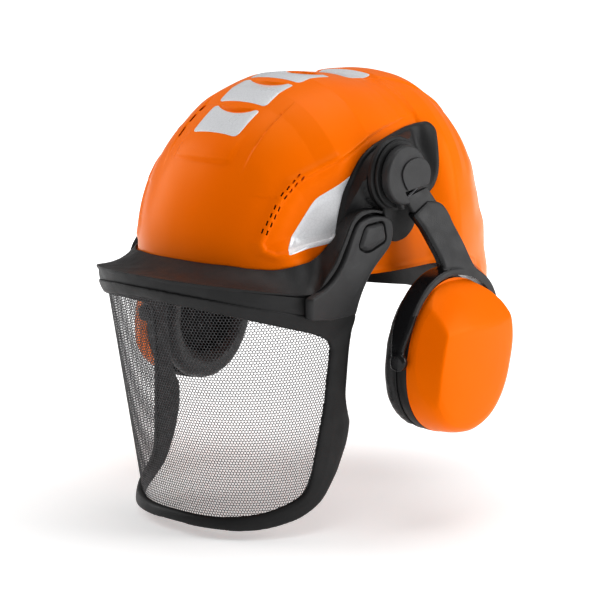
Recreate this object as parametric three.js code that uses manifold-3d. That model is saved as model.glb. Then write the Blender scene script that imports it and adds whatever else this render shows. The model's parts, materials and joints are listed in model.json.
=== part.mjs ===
// Forestry helmet: a ventilated shell with a reflective set, an adjustable head harness, a hinged
// peak with a perforated face screen, and two ear muffs on turning, swinging and sliding arms.
//
// Millimetres. +X is the wearer's left, -Y is the way the wearer looks and +Z is up. The origin is
// the seat of the head: the centre of the headband, on the level of the rim beside the temples.

import * as THREE from "three";
import { mergeVertices } from "three/addons/utils/BufferGeometryUtils.js";
import Module from "manifold-3d";

const wasm = await Module();
wasm.setup();

// ---------------------------------------------------------------------------------------------
// Driving dimensions
// ---------------------------------------------------------------------------------------------

const GAP = 0.35;                     // between two pieces that touch

const SHELL = {
  halfWidth: 101, front: 146, rear: 133, height: 133, centreY: 6,
  planPower: 2.3, crownPower: 2.3, wall: 3,
  rimFront: 10, rimSide: 1, rimRear: -36,
};

const HUB = { y: -20, z: 70 };        // the axis that the peak and the ear muffs turn about
// The sides are pressed in where the plates and the peak's arms lie.
const RECESS = { depth: 11, front: -116, frontSoft: 26, rear: 18, rearSoft: 34, top: 82, topSoft: 24 };

const LAYERS = {                      // distances from the middle plane, going outwards
  plateOut: 90, visorIn: 90.4, visorOut: 95, baseRing: 95.4, housing: 98, housingOut: 105,
};
const POST = { radius: 7, headRadius: 9 };

const VISOR = {                       // the face screen: U-shaped curves at its top and bottom
  top: { half: 88, rear: -54, front: -173, power: 2.3, level: -6.7, slope: -0.34 },
  bottom: { half: 78, rear: -60, front: -143, power: 2.3, level: -163.5, slope: 0.3 },
  frameThick: 4.5, bandBottom: 11, postWidth: 24, sheet: 0.8,
};

const BRIM = {                        // the peak, between the shell and the screen
  half: 93, rear: -52, front: -179, power: 2.3, level: 10, slope: -0.19, lip: 11, thick: 3.5,
};

const CUP = {                         // one ear muff, on the wearer's left
  y: 1, z: -56, halfWide: 46, halfHigh: 54, lean: 14,
  face: 102.5,                        // the cushion's face, from the middle plane
};

const BAND = {                        // the headband
  half: 77, front: -92, centreY: 4, tailEnd: 78, thick: 2, bottom: -20, top: 10,
};

const MATERIALS = {
  orange: { color: 0xf26a12, roughness: 0.32, metalness: 0 },
  black: { color: 0x2b2b2c, roughness: 0.55, metalness: 0 },
  grey: { color: 0x3c3c3d, roughness: 0.5, metalness: 0 },
  reflective: { color: 0xd4d5d8, roughness: 0.35, metalness: 0.1 },
  screen: { color: 0x303032, roughness: 0.45, metalness: 0.6 },
  cushion: { color: 0x1c1c1d, roughness: 0.65, metalness: 0 },
  webbing: { color: 0x262626, roughness: 0.9, metalness: 0 },
  steel: { color: 0xb8babd, roughness: 0.3, metalness: 1 },
  foam: { color: 0x3a3a3c, roughness: 1, metalness: 0 },
};

// ---------------------------------------------------------------------------------------------
// Mesh helpers
// ---------------------------------------------------------------------------------------------

const model = new THREE.Group();
const radians = THREE.MathUtils.degToRad;
const point = (x, y, z) => new THREE.Vector3(x, y, z);
const range = (count) => Array.from({ length: count }, (_, index) => index);
const mix = (from, to, part) => from + (to - from) * part;

function signedPower(value, power) {
  return Math.sign(value) * Math.abs(value) ** power;
}

function fromTriangles(positions, index) {
  const geometry = new THREE.BufferGeometry();
  geometry.setAttribute("position", new THREE.Float32BufferAttribute(positions, 3));
  geometry.setIndex(index);
  return geometry;
}

function volumeOf(positions, index) {
  const corner = (at) => point(positions[3 * at], positions[3 * at + 1], positions[3 * at + 2]);
  let six = 0;
  for (let i = 0; i < index.length; i += 3) {
    six += corner(index[i]).dot(corner(index[i + 1]).cross(corner(index[i + 2])));
  }
  return six / 6;
}

// The triangles that close a ring of points, as rungs between its first half and its second.
function ladder(count, start) {
  const index = [];
  for (let i = 0; i < count - 2 - i; i += 1) {
    const [a, b, c, d] = [i, i + 1, count - 2 - i, count - 1 - i].map((k) => start + k);
    if (b < c) index.push(a, b, c);
    index.push(a, c, d);
  }
  return index;
}

// A closed body through a row of rings with equal counts of points. Its two ends are capped, or
// its last ring joins its first.
function loft(rings, { closed = false } = {}) {
  const count = rings[0].length;
  const positions = rings.flat().flatMap((p) => [p.x, p.y, p.z]);
  const index = [];
  const last = closed ? rings.length : rings.length - 1;
  for (let row = 0; row < last; row += 1) {
    const next = (row + 1) % rings.length;
    for (let i = 0; i < count; i += 1) {
      const j = (i + 1) % count;
      const [a, b, c, d] = [row * count + i, row * count + j, next * count + j, next * count + i];
      index.push(a, b, c, a, c, d);
    }
  }
  if (!closed) {
    index.push(...ladder(count, 0).reverse(), ...ladder(count, (rings.length - 1) * count));
  }
  if (volumeOf(positions, index) < 0) index.reverse();
  return fromTriangles(positions, index);
}

function welded(geometry) {
  const bare = geometry.clone();
  bare.deleteAttribute("normal");
  bare.deleteAttribute("uv");
  return mergeVertices(bare, 1e-4);
}

function toSolid(geometry) {
  const bare = welded(geometry);
  return new wasm.Manifold(new wasm.Mesh({
    numProp: 3,
    vertProperties: new Float32Array(bare.getAttribute("position").array),
    triVerts: new Uint32Array(bare.getIndex().array),
  }));
}

function toGeometry(solid) {
  const mesh = solid.getMesh();
  return fromTriangles(Array.from(mesh.vertProperties), Array.from(mesh.triVerts));
}

function joined(...geometries) {
  return toGeometry(geometries.map(toSolid).reduce((sum, solid) => sum.add(solid)));
}

function cut(geometry, ...tools) {
  return toGeometry(tools.map(toSolid).reduce((left, tool) => left.subtract(tool), toSolid(geometry)));
}

// The same body on the other side of the middle plane.
function mirrored(geometry) {
  const bare = welded(geometry);
  const positions = Array.from(bare.getAttribute("position").array);
  for (let i = 0; i < positions.length; i += 3) positions[i] = -positions[i];
  return fromTriangles(positions, Array.from(bare.getIndex().array).reverse());
}

function add(name, geometry, look) {
  const mesh = new THREE.Mesh(welded(geometry), new THREE.MeshStandardMaterial(MATERIALS[look]));
  mesh.geometry.computeVertexNormals();
  mesh.name = name;
  model.add(mesh);
}

function addPair(name, geometry, look) {
  add(`${name}_left`, geometry, look);
  add(`${name}_right`, mirrored(geometry), look);
}

// A cylinder along +X, between two distances from the middle plane.
function across(radius, from, to, y, z, sides = 20) {
  const geometry = new THREE.CylinderGeometry(radius, radius, to - from, sides);
  return geometry.rotateZ(Math.PI / 2).translate((from + to) / 2, y, z);
}

function ringAcross(outer, inner, from, to, y, z) {
  return cut(across(outer, from, to, y, z, 24), across(inner, from - 1, to + 1, y, z, 16));
}

// A rounded rectangle as a ring of points, in the plane of two unit vectors.
function roundedRing(centre, wide, high, radius, alongWide, alongHigh, steps = 3) {
  const ring = [];
  for (const [sideWide, sideHigh, start] of [[1, 1, 0], [-1, 1, 90], [-1, -1, 180], [1, -1, 270]]) {
    for (const step of range(steps + 1)) {
      const angle = radians(start + (90 * step) / steps);
      const w = sideWide * (wide / 2 - radius) + radius * Math.cos(angle);
      const h = sideHigh * (high / 2 - radius) + radius * Math.sin(angle);
      ring.push(centre.clone().addScaledVector(alongWide, w).addScaledVector(alongHigh, h));
    }
  }
  return ring;
}

// ---------------------------------------------------------------------------------------------
// Shell, reflective set and side plates
// ---------------------------------------------------------------------------------------------

const { smoothstep } = THREE.MathUtils;
function recessDepth(y, z) {
  return RECESS.depth * smoothstep(y, RECESS.front, RECESS.front + RECESS.frontSoft)
    * (1 - smoothstep(y, RECESS.rear, RECESS.rear + RECESS.rearSoft))
    * (1 - smoothstep(z, RECESS.top, RECESS.top + RECESS.topSoft));
}

const shellLength = (back) => (back > 0 ? SHELL.rear : SHELL.front);

// A point of the shell's outside, moved outwards by proud. around is 0 at the wearer's left and
// 90 at the back, and up goes from 0 at the level of the origin to 1 at the crown.
function shellPoint(around, up, proud = 0) {
  const angle = radians(around);
  const rise = (up * Math.PI) / 2;
  const radius = Math.cos(rise) ** (2 / SHELL.crownPower);
  const wide = (SHELL.halfWidth + proud) * radius * signedPower(Math.cos(angle), 2 / SHELL.planPower);
  const length = (shellLength(Math.sin(angle)) + proud) * radius;
  const y = SHELL.centreY + length * signedPower(Math.sin(angle), 2 / SHELL.planPower);
  const z = (SHELL.height + proud) * Math.sin(rise) ** (2 / SHELL.crownPower);
  const pressed = Math.min(recessDepth(y, z), Math.abs(wide) * 0.3);
  return point(wide - Math.sign(wide) * pressed, y, z);
}

// The shell's outside as a half width, at a given distance back and height.
function shellHalfWidth(y, z, proud = 0) {
  const back = Math.abs(y - SHELL.centreY) / (shellLength(y - SHELL.centreY) + proud);
  const level = Math.max(z, 0) / (SHELL.height + proud);
  const ring = Math.max(1 - level ** SHELL.crownPower, 0) ** (SHELL.planPower / SHELL.crownPower);
  const part = Math.max(ring - back ** SHELL.planPower, 0);
  return (SHELL.halfWidth + proud) * part ** (1 / SHELL.planPower) - recessDepth(y, z);
}

function rimLevel(around) {
  const back = Math.sin(radians(around));
  return back < 0
    ? mix(SHELL.rimSide, SHELL.rimFront, back ** 2)
    : mix(SHELL.rimSide, SHELL.rimRear, smoothstep(back, 0.25, 0.9));
}

const SHELL_SIDES = 40;
const SHELL_ROWS = 10;
const CROWN_ROW = 0.96;               // the last ring below the crown

// Rings from the rim to the crown. The wall stands upright below the dome's widest level.
function shellRings(proud) {
  const upAt = (level) => (2 / Math.PI) * Math.asin((level / SHELL.height) ** (SHELL.crownPower / 2));
  const ringAt = (part) => range(SHELL_SIDES).map((side) => {
    const around = (360 * side) / SHELL_SIDES;
    const foot = Math.max(rimLevel(around) + 2, 0);
    const at = shellPoint(around, mix(upAt(foot), CROWN_ROW, Math.max(part, 0)), proud);
    if (part < 0) at.z = mix(foot, rimLevel(around), -part);
    return at;
  });
  return [-1, ...range(SHELL_ROWS).map((row) => row / (SHELL_ROWS - 1))].map(ringAt);
}

add("shell", loft([...shellRings(-SHELL.wall).reverse(), ...shellRings(0)]), "orange");

// A thin film on the shell's left side, between four corners given as [y, z].
function sideFilm([a, b, c, d], lift, thick) {
  const columns = 6;
  const rows = 4;
  const at = (s, t, proud) => {
    const y = mix(mix(a[0], b[0], s), mix(d[0], c[0], s), t);
    const z = mix(mix(a[1], b[1], s), mix(d[1], c[1], s), t);
    return point(shellHalfWidth(y, z) + proud, y, z);
  };
  return loft(range(columns + 1).map((i) => [
    ...range(rows + 1).map((j) => at(i / columns, j / rows, lift)),
    ...range(rows + 1).map((j) => at(i / columns, 1 - j / rows, lift + thick)),
  ]));
}

// A film between two distances back, across the middle plane.
function crownFilm(front, rear, halfWide) {
  const columns = 6;
  const rows = 4;
  const heightAt = (x, y, proud) => {
    const length = (y > SHELL.centreY ? SHELL.rear : SHELL.front) + proud;
    const plan = Math.abs(x / (SHELL.halfWidth + proud)) ** SHELL.planPower
      + Math.abs((y - SHELL.centreY) / length) ** SHELL.planPower;
    const ring = plan ** (SHELL.crownPower / SHELL.planPower);
    return (SHELL.height + proud) * (1 - ring) ** (1 / SHELL.crownPower);
  };
  const at = (i, j, proud) => {
    const x = mix(-halfWide, halfWide, i / columns);
    const y = mix(front, rear, j / rows);
    return point(x, y, heightAt(x, y, proud));
  };
  return loft(range(columns + 1).map((i) => [
    ...range(rows + 1).map((j) => at(i, j, 0.3)),
    ...range(rows + 1).map((j) => at(i, rows - j, 0.8)),
  ]));
}

const CROWN_FILMS = [
  ["front_sticker_low", -103, -79, 21], ["front_sticker_middle", -74, -47, 23],
  ["front_sticker_high", -41, -10, 23], ["rear_sticker_high", 4, 34, 23],
  ["rear_sticker_low", 84, 108, 22],
];
for (const [name, front, rear, halfWide] of CROWN_FILMS) {
  add(name, crownFilm(front, rear, halfWide), "reflective");
}
const SIDE_FILM = [[-98, 23], [-78, 26], [-67, 56], [-78, 54]];
addPair("side_sticker", sideFilm(SIDE_FILM, 1.3, 0.6), "reflective");

// The side plate covers the shell behind and above the hub. Its outline is in the plane of the
// middle of the helmet, as [y, z], and its face lies flat enough to carry the hub.
const PLATE_OUTLINE = [
  [-66, 44], [-57, 58], [-49, 70], [-41, 80], [-28, 87], [-8, 93], [18, 96], [46, 97], [50, 93],
  [40, 78], [32, 67], [23, 50], [6, 41], [-24, 34], [-50, 36],
];

function plateLoft() {
  const centre = [HUB.y + 4, HUB.z - 2];
  const rings = [];
  const shrink = [0, 0.4, 0.8, 1];
  const ringAt = (scale, proud, top) => PLATE_OUTLINE.map(([y, z]) => {
    const py = mix(centre[0], y, scale);
    const pz = mix(centre[1], z, scale);
    const skin = shellHalfWidth(py, pz) + proud;
    return point(top ? Math.max(skin, mix(LAYERS.plateOut - 0.4, skin, scale ** 3)) : skin, py, pz);
  });
  for (const scale of shrink.slice(1)) rings.push(ringAt(scale, 2, false));
  for (const scale of [...shrink.slice(1)].reverse()) rings.push(ringAt(scale, 3.2, true));
  return loft(rings);
}
const postHole = across(POST.radius + GAP, 60, 130, HUB.y, HUB.z, 16);
addPair("side_plate", cut(plateLoft(), postHole), "black");

const hubPost = joined(
  across(POST.radius, 83.5, LAYERS.housingOut - 3, HUB.y, HUB.z, 16),
  across(POST.headRadius, LAYERS.housingOut - 3.2, LAYERS.housingOut - 0.8, HUB.y, HUB.z, 16),
);
addPair("hub_post", hubPost, "steel");

// ---------------------------------------------------------------------------------------------
// Peak, face screen and their release buttons
// ---------------------------------------------------------------------------------------------

// A point of a U-shaped curve round the face. turn is 0 at the front and 90 at the left end. The
// point is moved outwards by proud and up by rise.
function faceCurve(curve, turn, proud = 0, rise = 0) {
  const angle = radians(turn);
  const depth = curve.rear - curve.front + proud;
  const x = (curve.half + proud) * signedPower(Math.sin(angle), 2 / curve.power);
  const y = curve.rear - depth * signedPower(Math.cos(angle), 2 / curve.power);
  const level = curve.level + curve.slope * (y - curve.front);
  return point(x, y, level + rise);
}

// The turns from one end of a U-shaped curve to the other, in even steps.
function turns(count, end = 90) {
  return range(count + 1).map((i) => end * (-1 + (2 * i) / count));
}

// A strip along a U-shaped curve, from one rise to another.
function faceStrip(curve, inside, outside, low, high, count = 24, end = 90) {
  return loft(turns(count, end).map((turn) => [
    faceCurve(curve, turn, inside, low), faceCurve(curve, turn, outside, low),
    faceCurve(curve, turn, outside, high), faceCurve(curve, turn, inside, high),
  ]));
}

// A bar between section centres, each given as [x, y, z, thickness across, width along].
function sideBar(stations, radius = 1.5) {
  return loft(stations.map(([x, y, z, thick, wide]) => roundedRing(
    point(x, y, z), thick, wide, radius, point(1, 0, 0), point(0, 1, 0), 2,
  )));
}

// The peak: a sloping brim close round the shell, with a lip hanging from its outer edge.
function brim() {
  const gap = 2.6;
  return loft(turns(30, 84).map((turn) => {
    const outer = faceCurve(BRIM, turn);
    const shellAround = Math.atan2(outer.y - SHELL.centreY, outer.x);
    const around = THREE.MathUtils.radToDeg(shellAround);
    const inner = shellPoint(around, 0, gap);
    const level = rimLevel(around) + 6;
    inner.z = level;
    const down = (p, drop) => point(p.x, p.y, p.z - drop);
    const outward = outer.clone().sub(inner).setZ(0).normalize();
    const lipInside = outer.clone().addScaledVector(outward, -BRIM.thick);
    return [
      inner, outer, down(outer, BRIM.lip), down(lipInside, BRIM.lip),
      down(lipInside, BRIM.thick + 1), down(inner, BRIM.thick),
    ];
  }));
}

const ARM_STATIONS = [                // the peak's side arm, from its foot to the hub
  [91.5, -80, -16, 7, 44], [94, -71, -1, 7, 42], [94.4, -56, 16, 7, 42], [94.4, -44.5, 41, 6.6, 39],
];
const HUB_TONGUE = [                  // the turning link that the arm clips onto
  [92.7, -9, 23, 4.4, 26], [92.7, -9.5, 36, 4.4, 32], [92.7, -17, 58, 4.4, 38],
];
const ARM_TOP = 40.6;                 // the level where the arm ends below the hub
const armBar = sideBar(ARM_STATIONS);
const pivotRing = ringAcross(25, POST.radius + GAP, LAYERS.visorIn, LAYERS.visorOut, HUB.y, HUB.z);
const armClear = sideBar(ARM_STATIONS.map(([x, y, z, thick, wide]) => [x, y, z, 14, wide + 2 * GAP]));
const armTop = new THREE.BoxGeometry(30, 60, 30).translate(94, -56, ARM_TOP + 15);
addPair("peak_hub", cut(joined(pivotRing, sideBar(HUB_TONGUE)), armClear, postHole), "black");

// The button is a five-sided pad that sinks into a pocket in the arm.
const BUTTON = {
  outline: [[-61, 24.5], [-54, 38], [-35, 38.4], [-33.5, 25.5], [-51, 20]], middle: [-47, 29.5],
  pocket: 92.4, inside: 94.8, outside: 98.6,
};
function buttonSolid(from, to, grow) {
  const { middle } = BUTTON;
  const outline = new THREE.Shape(BUTTON.outline.map(([y, z]) => {
    const away = new THREE.Vector2(y - middle[0], z - middle[1]);
    away.setLength(away.length() + grow - 2.2);
    return new THREE.Vector2(middle[0] + away.x, middle[1] + away.y);
  }));
  const pad = new THREE.ExtrudeGeometry(outline, { depth: to - from, bevelEnabled: false });
  return pad.rotateY(Math.PI / 2).rotateX(Math.PI / 2).translate(from, 0, 0);
}
const arm = cut(armBar, armTop, buttonSolid(BUTTON.pocket, 110, 0.5));
add("peak", joined(brim(), arm, mirrored(arm)), "black");
addPair("release_button", buttonSolid(BUTTON.inside, BUTTON.outside, 0), "grey");

// The frame of the face screen: a band under the peak, a post on each side and a band below.
function screenPost() {
  const rear = VISOR.bottom.rear;
  const at = (z, shift = 0) => {
    const part = (VISOR.top.level - z) / (VISOR.top.level - VISOR.bottom.level);
    const half = mix(VISOR.top.half, VISOR.bottom.half, part) + VISOR.frameThick / 2 + 0.6;
    return [half, rear - VISOR.postWidth / 2 - shift, z, VISOR.frameThick, VISOR.postWidth];
  };
  return sideBar([at(-36), at(-60), at(-90), at(-120), at(-136, 1), at(-148, 6)], 1.5);
}

// The top band fills the height between the screen and the peak's lip.
function topBand() {
  return loft(turns(24, 88).map((turn) => {
    const lipLevel = faceCurve(BRIM, turn).z - BRIM.lip - 2 * GAP;
    const at = (proud, high) => {
      const foot = faceCurve(VISOR.top, turn, proud);
      return high ? foot.setZ(lipLevel) : foot;
    };
    const { frameThick } = VISOR;
    return [at(0.6, false), at(frameThick, false), at(frameThick, true), at(0.6, true)];
  }));
}

function screenFrame() {
  const post = screenPost();
  return joined(
    topBand(),
    faceStrip(VISOR.bottom, 0.6, VISOR.frameThick + 0.6, -VISOR.bandBottom, 3, 24, 74),
    post, mirrored(post),
  );
}
add("screen_frame", screenFrame(), "black");

// The perforated sheet, just inside the frame. It stays solid here: its holes are smaller than
// any load or contact that it meets.
function screenSheet() {
  const rows = 5;
  const at = (turn, row, proud) => {
    const upper = faceCurve(VISOR.top, turn, proud, 4);
    const lower = faceCurve(VISOR.bottom, turn, proud, -4);
    return upper.lerp(lower, row / rows);
  };
  return loft(turns(22, 80).map((turn) => [
    ...range(rows + 1).map((row) => at(turn, row, -0.9)),
    ...range(rows + 1).map((row) => at(turn, rows - row, -0.9 - VISOR.sheet)),
  ]));
}
add("screen_mesh", screenSheet(), "screen");

// ---------------------------------------------------------------------------------------------
// Head harness
// ---------------------------------------------------------------------------------------------

// The headband's middle line as [x, y]: half an oval in front and a straight tail on each side.
function bandLine(inset, tailEnd = BAND.tailEnd) {
  const half = BAND.half - inset;
  const depth = BAND.centreY - BAND.front - inset;
  const front = turns(24).map((turn) => [
    half * Math.sin(radians(turn)), BAND.centreY - depth * Math.cos(radians(turn)),
  ]);
  return [[-half, tailEnd], ...front, [half, tailEnd]];
}

// A strap standing on edge along a line of [x, y] points.
function uprightStrap(line, thick, bottomAt, topAt) {
  return loft(line.map(([x, y], i) => {
    const [ax, ay] = line[Math.max(i - 1, 0)];
    const [bx, by] = line[Math.min(i + 1, line.length - 1)];
    const side = point(by - ay, ax - bx, 0).normalize().multiplyScalar(thick / 2);
    const corner = (sign, z) => point(x + sign * side.x, y + sign * side.y, z);
    const [low, high] = [bottomAt(y), topAt(y)];
    return [corner(-1, low), corner(1, low), corner(1, high), corner(-1, high)];
  }));
}

const tailLevel = (y) => smoothstep(y, 10, 50);
add("headband", uprightStrap(
  bandLine(0), BAND.thick, (y) => mix(BAND.bottom, -24, tailLevel(y)),
  (y) => mix(BAND.top, -6, tailLevel(y)),
), "black");
const browLine = bandLine(4).slice(4, -4);
add("sweatband", uprightStrap(browLine, 5, () => BAND.bottom + 2, () => BAND.top - 2), "cushion");

// The nape yoke slides forwards on the tails of the headband as the knob behind it is turned.
const YOKE = { inset: 2.6, front: 52, bend: 74, rear: 116, thick: 2.2, low: -26, high: -5 };
function yokeLine() {
  const half = BAND.half - YOKE.inset;
  const bend = range(17).map((i) => {
    const angle = Math.PI * (i / 16);
    return [-half * Math.cos(angle), YOKE.bend + (YOKE.rear - YOKE.bend) * Math.sin(angle)];
  });
  return [[-half, YOKE.front], ...bend, [half, YOKE.front]];
}
add("nape_yoke", uprightStrap(yokeLine(), YOKE.thick, () => YOKE.low, () => YOKE.high), "black");
const napePadLine = yokeLine().slice(5, -5).map(([x, y]) => [x * 0.97, y - 4]);
add("nape_pad", uprightStrap(napePadLine, 4.5, () => -24, () => -7), "cushion");

const KNOB = { y: YOKE.rear + 1.5, z: -15.5, radius: 15, depth: 13, ribs: 18 };
function knobSolid() {
  const outline = new THREE.Shape(range(KNOB.ribs * 2).map((i) => {
    const angle = (Math.PI * i) / KNOB.ribs;
    const radius = KNOB.radius + (i % 2 ? 0 : -1);
    return new THREE.Vector2(radius * Math.cos(angle), radius * Math.sin(angle));
  }));
  const body = new THREE.ExtrudeGeometry(outline, {
    depth: KNOB.depth - 2, bevelEnabled: true, bevelSize: 1, bevelThickness: 1, bevelSegments: 1,
  });
  return body.rotateX(Math.PI / 2).translate(0, KNOB.y + KNOB.depth - 1, KNOB.z);
}
add("nape_knob", knobSolid(), "black");

// Two webbing straps cross over the head, one a little lower than the other, and hang from four
// keys that plug into the shell.
const STRAP = { wide: 20, thick: 1.4, clear: 16 };
function cradleStrap(around, drop) {
  const sideways = point(-Math.sin(radians(around)), Math.cos(radians(around)), 0);
  const steps = 22;
  return loft(range(steps + 1).map((i) => {
    const part = (2 * i) / steps - 1;
    const up = mix(0.13, 1, 1 - Math.abs(part));
    const side = around + (part < 0 ? 180 : 0);
    const at = (proud) => shellPoint(side, up, -STRAP.clear - drop * (1 - Math.abs(part)) - proud);
    const half = sideways.clone().multiplyScalar(STRAP.wide / 2);
    const [outer, inner] = [at(0), at(STRAP.thick)];
    return [
      outer.clone().add(half), outer.clone().sub(half), inner.clone().sub(half), inner.clone().add(half),
    ];
  }));
}
const KEY_TURNS = { left_front: -50, right_rear: 130, right_front: 230, left_rear: 50 };
add("cradle_strap_left_front", cradleStrap(KEY_TURNS.left_front, 0), "webbing");
add("cradle_strap_right_front", cradleStrap(KEY_TURNS.right_front, 4), "webbing");

// A key sits between the foot of a strap and the shell's wall.
for (const [name, around] of Object.entries(KEY_TURNS)) {
  const out = point(Math.cos(radians(around)), Math.sin(radians(around)), 0);
  const along = point(-out.y, out.x, 0);
  const low = rimLevel(around) < 0 ? 4 : rimLevel(around) + 5;
  const wall = (z) => shellPoint(around, 0.02, -SHELL.wall - 5.5 - (z - low) * 0.3);
  const rings = [low, low + 8, low + 15].map((z) => {
    const centre = wall(z).addScaledVector(out, -4).setZ(z);
    return roundedRing(centre, 7, 24, 1.5, out, along, 1);
  });
  add(`cradle_key_${name}`, loft(rings), "black");
}

// ---------------------------------------------------------------------------------------------
// Ear muffs
// ---------------------------------------------------------------------------------------------

const armWay = point(0, 37, -65).normalize();            // down the arm, seen from the side
const armSide = point(0, -armWay.z, armWay.y);           // across the arm
const outwards = point(1, 0, 0);
const armCentre = (along, x) => point(x, HUB.y, HUB.z).addScaledVector(armWay, along);

// A bar along the arm between stations of [distance from the hub, x, thickness, width].
function armBarLoft(stations, radius = 1.5) {
  return loft(stations.map(([along, x, thick, wide]) => roundedRing(
    armCentre(along, x), thick, wide, Math.min(radius, thick / 2 - 0.1), outwards, armSide, 2,
  )));
}

const HINGE = { along: 15.5, x: 101.5, radius: 1.5, wide: 26.4 };         // where the arm swings out
function hingeRod(radius, length) {
  const rod = new THREE.CylinderGeometry(radius, radius, length, 10);
  rod.applyQuaternion(new THREE.Quaternion().setFromUnitVectors(point(0, 1, 0), armSide));
  const at = armCentre(HINGE.along, HINGE.x);
  return rod.translate(at.x, at.y, at.z);
}
const middleX = (LAYERS.housing + LAYERS.housingOut) / 2;
const housingThick = LAYERS.housingOut - LAYERS.housing;
const housing = cut(
  joined(
    across(20.5, LAYERS.housing, LAYERS.housingOut - 1.6, HUB.y, HUB.z, 24),
    armBarLoft([[-12, middleX, housingThick, 22], [22, middleX, housingThick, 27]], 2.5),
  ),
  postHole,
  across(POST.headRadius + GAP, LAYERS.housingOut - 3.9, 130, HUB.y, HUB.z, 16),
  armBarLoft([[11.2, middleX, 20, 20.8], [40, middleX, 20, 20.8]], 0.2),
  hingeRod(HINGE.radius + GAP, 40),
);
addPair("muff_housing", housing, "grey");
addPair("muff_hinge_pin", hingeRod(HINGE.radius, HINGE.wide), "steel");
const baseRing = ringAcross(
  23, POST.radius + GAP, LAYERS.baseRing, LAYERS.housing - GAP, HUB.y, HUB.z,
);
addPair("muff_base_ring", baseRing, "black");
const capFrom = LAYERS.housingOut - 0.5;
addPair("hub_cap", across(8.4, capFrom, capFrom + 1.6, HUB.y, HUB.z, 24), "grey");

// The blade is hinged to the housing, and the fork slides along its straight part.
const SLOPE = 0.5;                  // how fast the arm leans outwards
const slideX = (along) => 105 + (along - 28) * SLOPE;
const BLADE = [
  [13.4, 101.5, 5.2, 20], [18, 101.6, 5.2, 20], [26, slideX(26), 3.4, 20], [63, slideX(63), 3.4, 20],
];
const blade = cut(armBarLoft(BLADE), hingeRod(HINGE.radius + GAP, 40));
addPair("muff_blade", blade, "black");
const channelBar = (along) => [along, slideX(along), 3.4 + 2 * GAP, 20 + 2 * GAP];
const bladeChannel = armBarLoft([20, 90].map(channelBar));

// The cup's outline round its own middle, at a depth outwards from the cushion's face.
function cupRing(depth, scale, proud = 0, count = 24) {
  const lean = radians(CUP.lean);
  const up = point(0, Math.sin(lean), Math.cos(lean));
  const back = point(0, Math.cos(lean), -Math.sin(lean));
  return range(count).map((i) => {
    const angle = (2 * Math.PI * i) / count;
    return point(CUP.face + depth, CUP.y, CUP.z)
      .addScaledVector(back, (CUP.halfWide * scale + proud) * signedPower(Math.cos(angle), 0.92))
      .addScaledVector(up, (CUP.halfHigh * scale + proud) * signedPower(Math.sin(angle), 0.92));
  });
}

// A bowl: rings of [depth, scale] on its outside from the middle to the rim, and back inside.
const bowl = (...profile) => loft(profile.map(([depth, scale]) => cupRing(depth, scale)));

addPair("muff_cover", bowl(
  [50.5, 0.45], [49, 0.62], [44.5, 0.8], [36.5, 0.93], [28.5, 0.99], [24.5, 1],
  [24.5, 0.945], [35.5, 0.88], [42.5, 0.76], [46.5, 0.58], [48, 0.4],
), "orange");
addPair("muff_cup", bowl(
  [42.5, 0.4], [39.5, 0.68], [34.5, 0.82], [24.1, 0.9], [24.1, 0.995], [14.5, 0.95],
  [14.5, 0.74], [22.5, 0.74], [32.5, 0.7], [37, 0.5], [39.5, 0.3],
), "black");
addPair("muff_foam", bowl([18.5, 0.66], [31, 0.6]), "foam");

// The sealing cushion is a soft ring round the ear.
const CUSHION_SECTION = [
  [14.1, 0.93], [11.5, 0.98], [6.5, 1], [2.5, 0.96], [0, 0.86], [0, 0.72], [2.5, 0.6],
  [6.5, 0.56], [11.5, 0.57], [14.1, 0.62],
];
function cushionRing() {
  const rings = CUSHION_SECTION.map(([depth, scale]) => cupRing(depth, scale));
  return loft(range(rings[0].length).map((i) => rings.map((ring) => ring[i])), { closed: true });
}
addPair("muff_cushion", cushionRing(), "cushion");

// The fork: a flat arm with a channel for the blade, and a bow round the cover to both pivots.
const BOW = { top: 124, bottom: 117.5, wide: 8, inner: 2.2, outer: 6.2, past: 2 };
function forkBow() {
  const count = 32;
  const inner = cupRing(0, 1, BOW.inner, count);
  const outer = cupRing(0, 1, BOW.outer, count);
  const along = range(count / 2 + 2 * BOW.past + 1).map((i) => (i - BOW.past + count) % count);
  return loft(along.map((i, k) => {
    const part = Math.min(1, Math.min(k, along.length - 1 - k) / 4);
    const from = mix(BOW.bottom, BOW.top, part);
    const at = (p, x) => point(x, p.y, p.z);
    const to = from + BOW.wide;
    return [at(inner[i], from), at(outer[i], from), at(outer[i], to), at(inner[i], to)];
  }));
}
const armPlate = armBarLoft([
  [30, slideX(30) + 0.3, 8, 25], [36, slideX(36), 8.4, 34], [63, slideX(63), 8.4, 35],
  [72, slideX(72) - 0.4, 8, 36], [82, 127.5, 8, 44],
], 2.4);
const cupRoom = loft([cupRing(-6, 1, BOW.inner, 32), cupRing(60, 1, BOW.inner, 32)]);
addPair("muff_fork", cut(joined(cut(armPlate, cupRoom), forkBow()), bladeChannel), "grey");

// A pivot pin on each end of the fork carries the cup.
const cupEdge = cupRing(0, 1, 0, 32);
for (const [name, index] of [["rear", 31], ["front", 17]]) {
  const at = cupEdge[index];
  const way = point(0, at.y - CUP.y, at.z - CUP.z).normalize();
  const pin = new THREE.CylinderGeometry(2.6, 2.6, 1.1, 10).translate(0, 1, 0);
  pin.applyQuaternion(new THREE.Quaternion().setFromUnitVectors(point(0, 1, 0), way));
  addPair(`muff_pivot_${name}`, pin.translate(BOW.bottom + 4, at.y, at.z), "steel");
}

export default model;
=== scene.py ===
import json
import math

import bpy
import bmesh
import numpy as np
from mathutils import Matrix, Vector
from mathutils.bvhtree import BVHTree


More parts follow.
